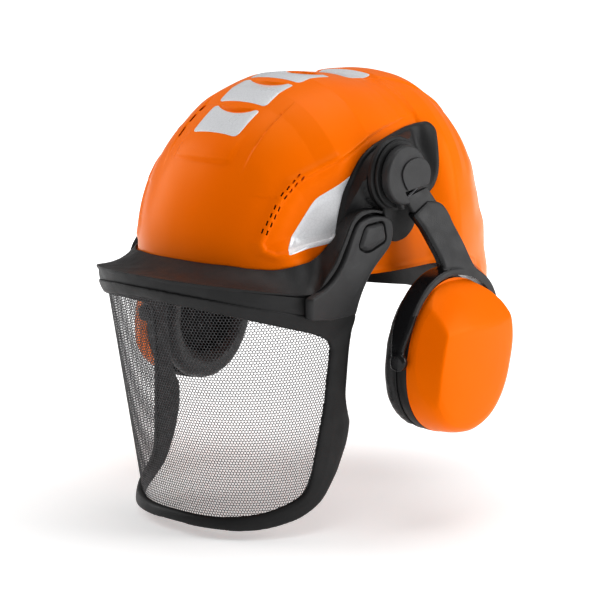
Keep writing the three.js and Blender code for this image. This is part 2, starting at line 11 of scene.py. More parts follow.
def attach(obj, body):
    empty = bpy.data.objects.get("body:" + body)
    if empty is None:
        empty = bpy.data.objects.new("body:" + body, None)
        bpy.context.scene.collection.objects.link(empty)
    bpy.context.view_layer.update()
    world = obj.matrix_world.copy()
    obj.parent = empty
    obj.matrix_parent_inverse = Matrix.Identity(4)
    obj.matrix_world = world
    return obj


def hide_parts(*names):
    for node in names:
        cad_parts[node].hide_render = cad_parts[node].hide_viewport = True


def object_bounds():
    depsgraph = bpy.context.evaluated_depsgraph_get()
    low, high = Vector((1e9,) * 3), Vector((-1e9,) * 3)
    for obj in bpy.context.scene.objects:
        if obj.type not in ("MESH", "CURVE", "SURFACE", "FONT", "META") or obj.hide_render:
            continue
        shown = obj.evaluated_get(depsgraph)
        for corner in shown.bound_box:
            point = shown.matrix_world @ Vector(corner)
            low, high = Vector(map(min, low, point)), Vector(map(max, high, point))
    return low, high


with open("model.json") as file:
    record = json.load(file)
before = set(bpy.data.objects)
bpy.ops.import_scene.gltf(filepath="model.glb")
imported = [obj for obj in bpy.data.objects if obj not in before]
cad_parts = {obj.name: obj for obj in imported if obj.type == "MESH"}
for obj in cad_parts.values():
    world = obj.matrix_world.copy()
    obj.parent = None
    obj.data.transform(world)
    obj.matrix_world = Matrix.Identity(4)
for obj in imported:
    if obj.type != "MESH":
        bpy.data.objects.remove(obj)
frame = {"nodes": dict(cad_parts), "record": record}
CAD_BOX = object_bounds()
MM = 0.001
SIDES = (("left", 1), ("right", -1))
MIRROR = np.array([-1, 1, 1])

# ---- Camera
CAM_AT = (1.1720, -1.3008, 0.3220)
CAM_AZIMUTH, CAM_ELEVATION, CAM_LENS = 42.34, 11.51, 147.25


def linked(name, data):
    """A new object in the scene."""
    obj = bpy.data.objects.new(name, data)
    bpy.context.scene.collection.objects.link(obj)
    return obj


def make_camera():
    a, e = math.radians(CAM_AZIMUTH), math.radians(CAM_ELEVATION)
    back = Vector((math.sin(a) * math.cos(e), -math.cos(a) * math.cos(e), math.sin(e)))
    right = Vector((math.cos(a), math.sin(a), 0))
    up = back.cross(right)
    data = bpy.data.cameras.new("camera")
    data.lens, data.sensor_width = CAM_LENS, 36
    cam = linked("camera", data)
    cam.matrix_world = Matrix.Translation(CAM_AT) @ Matrix((right, up, back)).transposed().to_4x4()
    bpy.context.scene.camera = cam


make_camera()

# ---- Materials


class Look:
    """A material under construction: nodes are added by type and joined by socket names."""

    def __init__(self, name, color, rough, **values):
        self.mat = bpy.data.materials.new(name)
        self.mat.use_nodes = True
        self.tree = self.mat.node_tree
        self.shader = self.tree.nodes["Principled BSDF"]
        self.coord = self.tree.nodes.new("ShaderNodeTexCoord").outputs["Object"]
        self.color = color
        self.shader.inputs["Base Color"].default_value = (*color, 1)
        self.shader.inputs["Roughness"].default_value = rough
        for key, value in values.items():
            self.shader.inputs[key.replace("_", " ")].default_value = value
        self.height = None

    def node(self, kind, inputs=(), **settings):
        made = self.tree.nodes.new("ShaderNode" + kind)
        for key, value in settings.items():
            setattr(made, key, value)
        for key, value in dict(inputs).items():
            if isinstance(value, bpy.types.NodeSocket):
                self.tree.links.new(value, made.inputs[key])
            else:
                made.inputs[key].default_value = value
        return made

    def product(self, a, b):
        return self.node("Math", {0: a, 1: b}, operation="MULTIPLY").outputs[0]

    def stretched(self, scale):
        return self.node("Mapping", {"Vector": self.coord, "Scale": scale}).outputs[0]

    def noise(self, scale, detail=2.0, vector=None):
        made = self.node("TexNoise", {"Vector": vector or self.coord, "Scale": scale, "Detail": detail})
        return made.outputs["Fac"]

    def cells(self, scale, feature="F1"):
        made = self.node("TexVoronoi", {"Vector": self.coord, "Scale": scale}, feature=feature)
        return made.outputs["Distance"]

    def waves(self, scale, direction, distortion):
        inputs = {"Vector": self.coord, "Scale": scale, "Distortion": distortion}
        return self.node("TexWave", inputs, bands_direction=direction).outputs["Fac"]

    def span(self, value, low, high, start=0.0, end=1.0):
        inputs = {"Value": value, "From Min": start, "From Max": end, "To Min": low, "To Max": high}
        return self.node("MapRange", inputs).outputs[0]

    def tint(self, value, other):
        made = self.node("Mix", {0: value}, data_type="RGBA")
        made.inputs[6].default_value = (*self.color, 1)
        made.inputs[7].default_value = (*other, 1)
        self.tree.links.new(made.outputs[2], self.shader.inputs["Base Color"])
        return self

    def rough(self, value, low, high, start=0.3, end=0.7):
        self.tree.links.new(self.span(value, low, high, start, end), self.shader.inputs["Roughness"])
        return self

    def bump(self, value, distance, strength=1.0):
        inputs = {"Height": value, "Distance": distance, "Strength": strength}
        if self.height is not None:
            inputs["Normal"] = self.height
        self.height = self.node("Bump", inputs).outputs[0]
        self.tree.links.new(self.height, self.shader.inputs["Normal"])
        return self


def orange_look():
    look = Look("orange_plastic", (0.97, 0.205, 0.0), 0.31, Specular_IOR_Level=0.2)
    look.shader.inputs["Specular Tint"].default_value = (1, 0.5, 0.06, 1)
    look.tint(look.span(look.noise(9, 2), 0.0, 1.0, 0.35, 0.75), (0.93, 0.18, 0.0))
    look.rough(look.noise(60, 4), 0.28, 0.38)
    look.bump(look.noise(900, 2), 0.00002)
    return look.mat


def moulded_look(name, color, rough, grain=0.00009, lighter=1.5):
    look = Look(name, color, rough, Specular_IOR_Level=0.4)
    look.tint(look.span(look.noise(30, 4), 0.0, 1.0, 0.4, 0.8), tuple(c * lighter for c in color))
    look.rough(look.noise(90, 5), rough - 0.07, rough + 0.09)
    look.bump(look.cells(1500), grain, 0.8).bump(look.noise(700, 3), grain, 0.5)
    return look.mat


def film_look():
    look = Look("reflective_film", (0.72, 0.73, 0.75), 0.34, Metallic=0.1, Coat_Weight=0.4)
    prisms = look.cells(430, "DISTANCE_TO_EDGE")
    look.tint(look.span(prisms, 0.0, 1.0, 0.0, 0.12), (0.78, 0.79, 0.81))
    look.rough(look.noise(40, 3), 0.26, 0.42)
    look.bump(prisms, 0.00004, 0.3)
    return look.mat


def screen_look():
    look = Look("screen_sheet", (0.045, 0.045, 0.048), 0.42, Metallic=0.35)
    look.tint(look.span(look.noise(300, 4), 0.0, 1.0, 0.4, 0.75), (0.10, 0.10, 0.105))
    look.rough(look.noise(500, 3), 0.34, 0.55).bump(look.noise(2500, 2), 0.00002)
    return look.mat


def knit_look():
    look = Look("padding", (0.022, 0.022, 0.024), 0.92, Sheen_Weight=0.35, Sheen_Roughness=0.5)
    rows = look.waves(260, "Z", 1.0)
    loops = look.product(rows, look.waves(260, "DIAGONAL", 1.0))
    look.tint(loops, (0.065, 0.065, 0.068)).bump(loops, 0.0003).bump(look.noise(900, 3), 0.0001)
    return look.mat


def skin_look():
    look = Look("cushion_skin", (0.016, 0.016, 0.017), 0.4, Sheen_Weight=0.1)
    creases = look.cells(330, "DISTANCE_TO_EDGE")
    # The creases are darker in colour where the bump sinks them: painted shade in the creases.
    look.tint(look.span(creases, 1.0, 0.0, 0.0, 0.1), (0.009, 0.009, 0.009))
    look.rough(look.noise(120, 4), 0.32, 0.48)
    look.bump(look.span(creases, 0, 1, 0, 0.2), 0.00012).bump(look.noise(45, 3), 0.0004, 0.5)
    return look.mat


def foam_look():
    look = Look("foam", (0.013, 0.013, 0.014), 0.98)
    pores = look.cells(650)
    look.tint(look.span(pores, 0.0, 1.0, 0.2, 0.7), (0.005, 0.005, 0.006))
    return look.bump(pores, 0.0008).mat


def webbing_look():
    look = Look("webbing", (0.02, 0.02, 0.021), 0.85, Sheen_Weight=0.2)
    warp = look.waves(330, "DIAGONAL", 0.4)
    weft = look.waves(420, "Z", 0.6)
    weave = look.product(warp, weft)
    look.tint(weave, (0.075, 0.075, 0.078)).bump(weave, 0.00035)
    return look.mat


def steel_look():
    # Near black, far darker than bare steel: painted shade, so that the pin seen deep in the housing's slot
    # reads as dark as the slot.
    look = Look("steel", (0.10, 0.10, 0.105), 0.36, Metallic=1.0)
    brushed = look.noise(500, 3, look.stretched((1, 1, 12)))
    look.tint(look.span(brushed, 0.0, 1.0, 0.3, 0.7), (0.06, 0.06, 0.063))
    return look.rough(brushed, 0.22, 0.42).bump(brushed, 0.00003).mat


LOOKS = {
    "orange_plastic": orange_look(),
    "black_plastic": moulded_look("black_plastic", (0.0145, 0.0145, 0.015), 0.48),
    "grey_plastic": moulded_look("grey_plastic", (0.034, 0.034, 0.035), 0.47),
    # near-black gloss that the fork's side faces take as painted shade
    "painted_shade_gloss_black": moulded_look("painted_shade_gloss_black", (0.008, 0.008, 0.009), 0.22, 0.00002),
    "reflective_film": film_look(),
    "screen_sheet": screen_look(),
    "padding": knit_look(),
    "cushion_skin": skin_look(),
    "foam": foam_look(),
    "webbing": webbing_look(),
    "steel": steel_look(),
}

# ---- Mesh helpers. All shapes are made in millimetres, in the row frame.


def smoothstep(x, low, high):
    t = np.clip((np.asarray(x, float) - low) / (high - low), 0, 1)
    return t * t * (3 - 2 * t)


def mix(a, b, t):
    return a + (b - a) * t


def unit(v):
    return v / np.linalg.norm(v)


def circle(count):
    return np.linspace(0, 2 * math.pi, count, endpoint=False)


def signed_power(value, power):
    return np.sign(value) * np.abs(value) ** power


def loft(rings, closed=False, caps=True):
    """Vertices and faces through a row of rings with equal counts of points."""
    rings = np.asarray(rings, float)
    rows, count = rings.shape[:2]
    faces = []
    for row in range(rows if closed else rows - 1):
        a, b = row * count, ((row + 1) % rows) * count
        faces += [(a + i, a + (i + 1) % count, b + (i + 1) % count, b + i) for i in range(count)]
    if caps and not closed:
        faces += [tuple(range(count))[::-1], tuple(range((rows - 1) * count, rows * count))]
    return rings.reshape(-1, 3), faces


def volume(verts, faces):
    total = 0.0
    for face in faces:
        o = verts[face[0]]
        for i in range(1, len(face) - 1):
            total += np.dot(o, np.cross(verts[face[i]], verts[face[i + 1]]))
    return total


def merged(*shapes):
    verts, faces, start = [], [], 0
    for shape_verts, shape_faces in shapes:
        verts.append(shape_verts)
        faces += [tuple(start + i for i in face) for face in shape_faces]
        start += len(shape_verts)
    return np.concatenate(verts), faces


def flipped(faces):
    return [face[::-1] for face in faces]


def mirror(shape):
    return shape[0] * MIRROR, flipped(shape[1])


def outward(shape):
    return shape if volume(*shape) > 0 else (shape[0], flipped(shape[1]))


def solid(rings):
    return outward(loft(rings))


def both_halves(half, closed=False):
    """A loft of rings that start at the middle, and of their mirror images."""
    half = np.array(half)
    other = half[::-1] * MIRROR
    if closed:
        return outward(loft(np.concatenate([half, other[1:-1]]), closed=True, caps=False))
    return solid(np.concatenate([other[:-1], half]))


def make(name, shape, angle=40):
    """A mesh object from a shape, smooth but for edges sharper than the angle."""
    verts, faces = shape
    mesh = bpy.data.meshes.new(name)
    mesh.from_pydata((np.asarray(verts) * MM).tolist(), [], faces)
    mesh.update()
    obj = linked(name, mesh)
    shade(obj, angle)
    return obj


def shade(obj, angle=40):
    bm = bmesh.new()
    bm.from_mesh(obj.data)
    limit = math.radians(angle)
    for face in bm.faces:
        face.smooth = True
    for edge in bm.edges:
        edge.smooth = edge.calc_face_angle(0.0) < limit
    bm.to_mesh(obj.data)
    bm.free()


def applied(obj):
    """Puts the result of the object's modifiers into its mesh."""
    graph = bpy.context.evaluated_depsgraph_get()
    mesh = bpy.data.meshes.new_from_object(obj.evaluated_get(graph))
    obj.modifiers.clear()
    obj.data = mesh


def bevelled(obj):
    mod = obj.modifiers.new("bevel", "BEVEL")
    mod.width, mod.segments = 0.5 * MM, 2
    mod.limit_method, mod.angle_limit = "ANGLE", math.radians(60)
    applied(obj)
    shade(obj, 50)


def remeshed(obj, voxel):
    mod = obj.modifiers.new("skin", "REMESH")
    mod.mode, mod.voxel_size = "VOXEL", voxel * MM


def smoothed(obj, rounds, factor=0.5):
    mod = obj.modifiers.new("smooth", "SMOOTH")
    mod.factor, mod.iterations = factor, rounds


def fused(obj, voxel, rounds, factor=0.5):
    """Makes one smooth skin of overlapping bodies."""
    remeshed(obj, voxel)
    smoothed(obj, rounds, factor)
    applied(obj)
    shade(obj, 60)


def cut_with(obj, cutter):
    mod = obj.modifiers.new("cut", "BOOLEAN")
    mod.operation, mod.object, mod.solver = "DIFFERENCE", cutter, "MANIFOLD"
    applied(obj)
    bpy.data.objects.remove(cutter)


def piece(obj, body, look, node=None):
    """Gives a piece its material, its body and the CAD node that it stands for."""
    obj.data.materials.clear()
    obj.data.materials.append(LOOKS[look])
    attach(obj, body)
    if node:
        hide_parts(node)


def single(node, shape, body, look, angle=40):
    piece(make(node + "_visual", outward(shape), angle), body, look, node)


def pair(name, shape, body, look, angle=40, stands=True, skin=None, tool=None, after=None):
    """The same piece on both sides, standing for the CAD node of its name and side.

    body may hold {} for left or right. skin fuses the shape's bodies, tool is cut out of it, and
    after finishes the mesh.
    """
    made = []
    for side, sign in SIDES:
        left = [outward(part) for part in (shape, tool) if part]
        own = left if sign > 0 else [mirror(part) for part in left]
        obj = make(f"{name}_visual_{side}" if stands else f"{name}_{side}", own[0], angle)
        if skin:
            fused(obj, *skin)
        if tool:
            cut_with(obj, make("tool", own[1]))
            shade(obj, angle)
        if after:
            after(obj)
        piece(obj, body.format(side), look, f"{name}_{side}" if stands else None)
        made.append(obj)
    return made


def rounded(points, radius, step=1.5, bend=6):
    """A closed outline with round corners and evenly spaced points. radius may be one per corner."""
    points = [np.asarray(p, float) for p in points]
    radii = radius if isinstance(radius, (list, tuple)) else [radius] * len(points)
    path = []
    for i, corner in enumerate(points):
        before, after = points[i - 1], points[(i + 1) % len(points)]
        to_a, to_b = before - corner, after - corner
        reach = min(radii[i], np.linalg.norm(to_a) * 0.49, np.linalg.norm(to_b) * 0.49)
        a = corner + to_a / np.linalg.norm(to_a) * reach
        b = corner + to_b / np.linalg.norm(to_b) * reach
        for t in np.linspace(0, 1, bend + 1):
            path.append((1 - t) ** 2 * a + 2 * t * (1 - t) * corner + t * t * b)
    return resampled(np.array(path), step)


def resampled(path, step, closed=True):
    path = np.asarray(path, float)
    loop = np.vstack([path, path[:1]]) if closed else path
    lengths = np.linalg.norm(np.diff(loop, axis=0), axis=1)
    at = np.concatenate([[0], np.cumsum(lengths)])
    count = max(8, int(round(at[-1] / step)))
    where = np.linspace(0, at[-1], count + (0 if closed else 1), endpoint=not closed)
    return np.stack([np.interp(where, at, loop[:, k]) for k in range(loop.shape[1])], 1)


def curve(points, count):
    """A smooth open curve through points, with count even steps of its parameter."""
    points = np.asarray(points, float)
    padded = np.vstack([2 * points[0] - points[1], points, 2 * points[-1] - points[-2]])
    out = []
    for t in np.linspace(0, len(points) - 1, count):
        i = min(int(t), len(points) - 2)
        u = t - i
        p0, p1, p2, p3 = padded[i: i + 4]
        out.append(0.5 * (2 * p1 + (p2 - p0) * u + (2 * p0 - 5 * p1 + 4 * p2 - p3) * u ** 2
                          + (3 * p1 - p0 - 3 * p2 + p3) * u ** 3))
    return np.array(out)


def inset(outline, amount):
    """A closed outline moved inwards."""
    ahead, behind = np.roll(outline, -1, 0), np.roll(outline, 1, 0)
    along = ahead - behind
    along /= np.linalg.norm(along, axis=1)[:, None] + 1e-9
    normal = np.stack([-along[:, 1], along[:, 0]], 1)
    area = np.sum(outline[:, 0] * ahead[:, 1] - ahead[:, 0] * outline[:, 1])
    return outline + normal * amount * (1 if area > 0 else -1)


def plate(outline, steps, place=None):
    """A plate from (height, inset) steps. place turns outline points and a height into 3D."""
    place = place or (lambda p, h: np.stack([np.full(len(p), h), p[:, 0], p[:, 1]], 1))
    return loft([place(inset(outline, amount), height) for height, amount in steps])


def lathe(profile, count=96):
    """A body round the hubs' axis, from (x, radius) points."""
    turn = circle(count)
    return loft([np.stack([np.full(count, x), HUB_Y + r * np.cos(turn), HUB_Z + r * np.sin(turn)], 1)
                 for x, r in profile])


# ---- Shell
WIDE, FRONT, REAR, HIGH, MID = 101.0, 146.0, 133.0, 133.0, 6.0
POWER = 2.3
HUB_Y, HUB_Z = -20.0, 70.0
BEAD = np.array([
    (-60, 82.5), (-74, 78), (-84, 74), (-94, 69), (-103, 59), (-109, 50), (-115, 38), (-118.5, 30),
    (-117, 24), (-111, 20.5), (-103, 21.5), (-79, 26), (-64, 29),
], float)
RIDGE = np.array([(64, 110), (20, 107), (-8, 101.5), (-28, 96), (-45, 89)], float)
STEPS = (-79.5, -47.0, -10.5)       # the crescent step behind each film on the crown
BOW_WIDE, BOW_DEEP = 17.5, 3.7      # each crescent's half width and its bow forwards
CROWN_LINE = [
    (-75, 0), (-60, 2.5), (-45, 2.4), (-30, 2.9), (-8, 0), (5, -1.8), (16, -3.0), (28, -3.2), (33, -2.6),
    (36, -0.9), (45, 0.4), (52, 1.8), (62, 2.6), (72, 1.2), (80, 1.5), (88, 0.6), (93, -1.2), (105, -1.4),
]
RIM_FRONT, RIM_SIDE, RIM_REAR = 10.0, 1.0, -36.0


def segment_distance(points, line):
    best = np.full(len(points), 1e9)
    for a, b in zip(line[:-1], line[1:]):
        ab = b - a
        t = np.clip(((points - a) @ ab) / (ab @ ab), 0, 1)
        best = np.minimum(best, np.linalg.norm(points - a - t[:, None] * ab, axis=1))
    return best


def inside(points, polygon):
    y, z = points[:, 0], points[:, 1]
    hit = np.zeros(len(points), bool)
    for (ay, az), (by, bz) in zip(polygon, np.roll(polygon, -1, 0)):
        cross = (az > z) != (bz > z)
        with np.errstate(divide="ignore", invalid="ignore"):
            hit ^= cross & (y < (by - ay) * (z - az) / (bz - az) + ay)
    return hit


HOLLOW_LINE = np.vstack([RIDGE, BEAD[:10], [(-104, 8), (-98, -20), (-95, -70)]])
HOLLOW = np.vstack([HOLLOW_LINE, [(140, -70), (140, 110)]])
PANEL_LINE = np.vstack([RIDGE, BEAD])
PANEL = np.vstack([PANEL_LINE, [(-20, 33), (40, 45), (64, 70)]])


def hollow(y, z):
    """How far the side is pressed in at a distance back and a height."""
    points = np.stack([y, z], 1)
    depth = segment_distance(points, HOLLOW_LINE) * np.where(inside(points, HOLLOW), 1, 0)
    broad = 11 * smoothstep(depth, 0, 27) * (1 - smoothstep(y, 18, 52))
    edge = segment_distance(points, PANEL_LINE) * np.where(inside(points, PANEL), 1, 0)
    return broad + 1.3 * smoothstep(edge, 0.8, 3.4) * (1 - smoothstep(y, 15, 45))


def shell_base(around, up, proud=0.0):
    rise = up * math.pi / 2
    radius = np.cos(rise) ** (2 / POWER)
    length = np.where(np.sin(around) > 0, REAR, FRONT) + proud
    x = (WIDE + proud) * radius * signed_power(np.cos(around), 2 / POWER)
    y = MID + length * radius * signed_power(np.sin(around), 2 / POWER)
    z = (HIGH + proud) * np.sin(rise) ** (2 / POWER)
    return np.stack([x, y, z], -1)


def shell_normal(p):
    x, y, z = p[:, 0], p[:, 1] - MID, np.maximum(p[:, 2], 0)
    length = np.where(y > 0, REAR, FRONT)
    n = np.stack([
        signed_power(x / WIDE, POWER - 1) / WIDE, signed_power(y / length, POWER - 1) / length,
        (z / HIGH) ** (POWER - 1) / HIGH,
    ], 1)
    return n / (np.linalg.norm(n, axis=1)[:, None] + 1e-12)


def relief(p):
    """How far the shell's outside stands proud of its smooth base."""
    x, y, z = p.T
    wide = np.abs(x)
    top = z > 60
    out = np.zeros(len(p))
    for at in STEPS:
        bow = np.clip(1 - (x / BOW_WIDE) ** 2, 0, 1) ** 0.8
        edge = at + 1.4 - BOW_DEEP * bow
        sunk = np.clip((y - (edge - 21)) / 21, 0, 1) ** 1.5
        out -= top * 2.4 * bow * sunk * (1 - smoothstep(y, edge - 0.4, edge + 0.8))
    out += np.interp(y, *np.transpose(CROWN_LINE)) * smoothstep(z, 45, 85)
    half = 27 + np.clip(y - 30, 0, 40) * 0.5
    crest = smoothstep(y, 26, 36) * (1 - smoothstep(wide, half - 2, half + 2))
    out += 1.2 * crest * smoothstep(z, 60, 90)
    out -= 2.2 * smoothstep(z, 16, 32) * (1 - smoothstep(z, 46, 66)) * smoothstep(y, 70, 100)
    out += 2.4 * (1 - smoothstep(z, -16, 2)) * smoothstep(y, 60, 95)
    brow = smoothstep(z, 79.5, 82.5) * (1 - smoothstep(wide, 23, 28)) * (1 - smoothstep(z, 86, 104))
    out += 1.7 * brow * (y < -60)
    wall = smoothstep(wide, 35.8, 38.0) * (1 - smoothstep(wide, 40, 74))
    out += 1.1 * wall * smoothstep(y, -118, -104) * (1 - smoothstep(y, -74, -56)) * top
    flank = np.stack([y, z], 1)
    strength = (wide > 30) * (y < -50)
    bead = segment_distance(flank, BEAD)
    out += 1.6 * strength * np.exp(-((bead / 2.9) ** 2))
    return out


def rim_level(around):
    back = np.sin(around)
    return np.where(
        back < 0, mix(RIM_SIDE, RIM_FRONT, back ** 2), mix(RIM_SIDE, RIM_REAR, smoothstep(back, 0.25, 0.9)),
    )


def shell_rings(proud, rows, count, detail):
    around = circle(count)
    foot = np.maximum(rim_level(around) + 2, 0)
    up_foot = (2 / math.pi) * np.arcsin((foot / HIGH) ** (POWER / 2))
    rings = []
    for part in [*np.linspace(-1, 0, 5)[:-1], *np.linspace(0, 1, rows)]:
        p = shell_base(around, mix(up_foot, 0.992, max(part, 0)), proud)
        if part < 0:
            p[:, 2] = mix(foot, rim_level(around), -part)
        q = p.copy()
        press = np.minimum(hollow(p[:, 1], p[:, 2]), np.abs(p[:, 0]) * 0.3)
        q[:, 0] -= np.sign(p[:, 0]) * press
        if detail:
            h = relief(p) + 0.9 * (1 - smoothstep(p[:, 2] - rim_level(around), 3.0, 4.2))
            q += shell_normal(p) * h[:, None]
        rings.append(q)
    return rings


def shell_slots():
    """Cutters for the rows of small vents beside the bead and the larger ones on the crown."""
    shapes = []
    for start, end in (((-87, 73), (-101.5, 60)), ((-105.5, 54), (-115.5, 36.5))):
        a, b = np.array(start, float), np.array(end, float)
        for t in np.linspace(0.06, 0.94, 4):
            for shift in (-1.25, 1.25):
                along = unit(b - a)
                y, z = mix(a, b, t) + np.array([-along[1], along[0]]) * shift
                shapes.append(slot_box(y, z, along, 3.4, 1.0))
    boxes = [slot_between(37.4, *ends) for ends in ((-100, -93), (-89, -82.5), (-79, -73.5))]
    return merged(*shapes, *boxes, *[mirror(s) for s in shapes + boxes])


def rest_of(size, part, y):
    """The shell's third measure where one part of its full size and a place back are known."""
    return size * max(1 - part ** POWER - (abs(y - MID) / FRONT) ** POWER, 0.01) ** (1 / POWER)


def slot_box(y, z, along, length, width):
    at = np.array([[rest_of(WIDE, z / HIGH, y), y, z]])
    n = shell_normal(at)[0]
    u = np.array([0, along[0], along[1]])
    u = unit(u - n * (u @ n))
    w = np.cross(n, u)
    at[0, 0] -= hollow(at[:, 1], at[:, 2])[0]
    corners = [(-1, -1), (1, -1), (1, 1), (-1, 1)]
    return outward(loft([[at[0] + n * depth + u * length / 2 * a + w * width / 2 * b for a, b in corners]
                         for depth in (-9, 9)]))


def slot_between(x, y0, y1):
    """A pocket in the inner face of the crown's small wall, following the base below it."""
    corners = [(x - 2.2, 0.1), (x + 3, -0.5), (x + 3, 0.7), (x - 2.2, 1.2)]
    return outward(loft([[(out, y, rest_of(HIGH, out / WIDE, y) + lift) for out, lift in corners]
                         for y in (y0, y1)]))


def build_shell():
    count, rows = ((720, 230))
    rings = shell_rings(0, rows, count, True)
    inner = shell_rings(-3.2, rows // 4, count, False)
    shape = solid([*inner[::-1], *rings])
    obj = make("shell_visual", shape, 42)
    verts, faces = solid(rings)
    cut_with(obj, make("slots", shell_slots()))
    shade(obj, 42)
    piece(obj, "helmet", "orange_plastic", "shell")
    return BVHTree.FromPolygons([tuple(v) for v in verts], faces)


SHELL_TREE = build_shell()


def proud_of(found, proud):
    return np.array(found[0]) + np.array(found[1]) * proud


def on_side(y, z, proud):
    return proud_of(SHELL_TREE.ray_cast(Vector((200, y, z)), Vector((-1, 0, 0))), proud)


def on_top(x, y, proud):
    return proud_of(SHELL_TREE.ray_cast(Vector((x, y, 300)), Vector((0, 0, -1))), proud)


def near_shell(p, proud):
    return proud_of(SHELL_TREE.find_nearest(Vector(p)), proud)


def draped(outline, onto, high):
    """A thin film on the shell inside an outline in the plane that onto takes."""
    middle = outline.mean(0)
    rings = []
    for scale in (0.02, 0.3, 0.6, 0.85, 1.0):
        rings.append([onto(*mix(middle, p, scale), 0.02) for p in outline])
    edge = inset(outline, 0.25)
    rings.append([onto(*p, high - 0.08) for p in outline])
    for scale in (1.0, 0.95, 0.9, 0.84, 0.78, 0.7, 0.62, 0.54, 0.46, 0.38, 0.3, 0.22, 0.14, 0.08, 0.02):
        rings.append([onto(*mix(middle, p, scale), high) for p in edge])
    return loft(rings)


def build_films():
    spans = {
        "front_sticker_low": (-102.5, -79.5, 21, 21.5), "front_sticker_middle": (-74.5, -47, 22.5, 23),
        "front_sticker_high": (-42, -10.5, 24, 24), "rear_sticker_high": (9, 34.5, 23.5, 23.5),
    }
    outlines = {"rear_sticker_low": rounded([(-20, 86), (20, 86), (21, 107), (-21, 107)], 4, 2.0)}
    for name, (front, rear, half_front, half_rear) in spans.items():
        deep = BOW_DEEP if rear < 0 else 0.0
        back = [(x, rear + 0.2 - deep * max(1 - (x / BOW_WIDE) ** 2, 0) ** 0.8)
                for x in np.linspace(half_rear, -half_rear, 25)]
        radii = [4, 4, 1.5, *[0.1] * 23, 1.5]
        corners = [(-half_front, front), (half_front, front), *back]
        outlines[name] = resampled(rounded(corners, radii, 1.6), 1.6)
    for name, outline in outlines.items():
        single(name, draped(outline, on_top, 0.2), "helmet", "reflective_film")
    corners = [(-105, 21.5), (-67, 27), (-57.5, 50), (-47.5, 71), (-58, 65.5), (-76, 57)]
    outline = rounded(corners, [0.8, 2, 2, 2, 3, 3], 1.6)
    pair("side_sticker", draped(outline, on_side, 0.22), "helmet", "reflective_film")


build_films()

# ---- Side plates and hubs
PLATE = [
    (-61.5, 43), (-54, 60), (-47.5, 74), (-40.5, 83), (-29, 89), (-8, 93), (18, 96.5), (41, 98.5),
    (45.5, 93), (41, 78), (37.5, 66), (33, 56), (22, 47), (5, 41), (-24, 33), (-50, 28), (-66, 29),
]


def build_plate():
    outline = rounded(PLATE, [8, 10, 10, 8, 12, 20, 10, 4, 4, 12, 12, 6, 8, 12, 6, 6, 3], 2.2)
    middle = np.array([HUB_Y, HUB_Z])
    scales = [0.05, 0.2, 0.4, 0.6, 0.8, 0.95, 1.0]

    def at(p, lift):
        base = on_side(p[0], p[1], lift)
        r = math.hypot(p[0] - HUB_Y, p[1] - HUB_Z)
        flat = 1 - smoothstep(r, 26.5, 52)
        boss = 1 - smoothstep(r, 26.3, 27.3)
        x = mix(base[0], max(base[0], 87.4), flat)
        return np.array([mix(x, 89.9, boss), base[1], base[2]])

    rings = [[on_side(*mix(middle, p, s), 0.3) for p in outline] for s in scales]
    rings.append([on_side(*p, 1.4) for p in outline])
    for amount, lift in ((0.5, 2.2), (1.3, 2.7), (2.2, 2.9)):
        rings.append([on_side(*p, lift) for p in inset(outline, amount)])
    core = inset(outline, 3.0)
    for scale in np.linspace(1, 0.04, 34):
        rings.append([at(mix(middle, p, scale), 2.9) for p in core])
    pair("side_plate", loft(rings), "helmet", "black_plastic", 30)


build_plate()


def build_hubs():
    ring = [(90.4, 12), (90.4, 25.2), (91.2, 26), (93.6, 26), (94.6, 25.2), (94.95, 24), (94.95, 12)]
    tongue = rounded([(-33, 50), (-30, 30), (-22, 22), (-8, 23.5), (0, 30), (4, 39), (4, 56)],
                     [3, 6, 5, 6, 5, 4, 3], 1.5)
    steps = [(90.6, 1.0), (90.6, 0.0), (93.6, 0.0), (94.5, 0.8), (94.6, 1.4)]
    hub = merged(outward(lathe(ring)), outward(plate(tongue, steps)))
    pair("peak_hub", hub, "visor", "black_plastic", 30)
    base = [(95.3, 10), (95.3, 23.4), (96.0, 24), (97.0, 24), (97.7, 23.2), (97.7, 10)]
    pair("muff_base_ring", lathe(base), "muff_hub_{}", "black_plastic", 30)


build_hubs()

ARM_WAY = np.array([0, 37.0, -65.0]) / math.hypot(37, 65)
ARM_SIDE = np.array([0, 65.0, 37.0]) / math.hypot(37, 65)
ACROSS, UP = np.array([1.0, 0, 0]), np.array([0, 0, 1.0])


def arm_point(along, x, side=0.0):
    return np.array([x, HUB_Y, HUB_Z]) + ARM_WAY * along + ARM_SIDE * side


def section(middle, thick, wide, radius, across, sideways, bend=4):
    ring = []
    for sa, sb, start in ((1, 1, 0), (-1, 1, 90), (-1, -1, 180), (1, -1, 270)):
        for t in np.linspace(0, 90, bend + 1):
            a = math.radians(start + t)
            ring.append(middle + across * (sa * (thick / 2 - radius) + radius * math.cos(a))
                        + sideways * (sb * (wide / 2 - radius) + radius * math.sin(a)))
    return ring


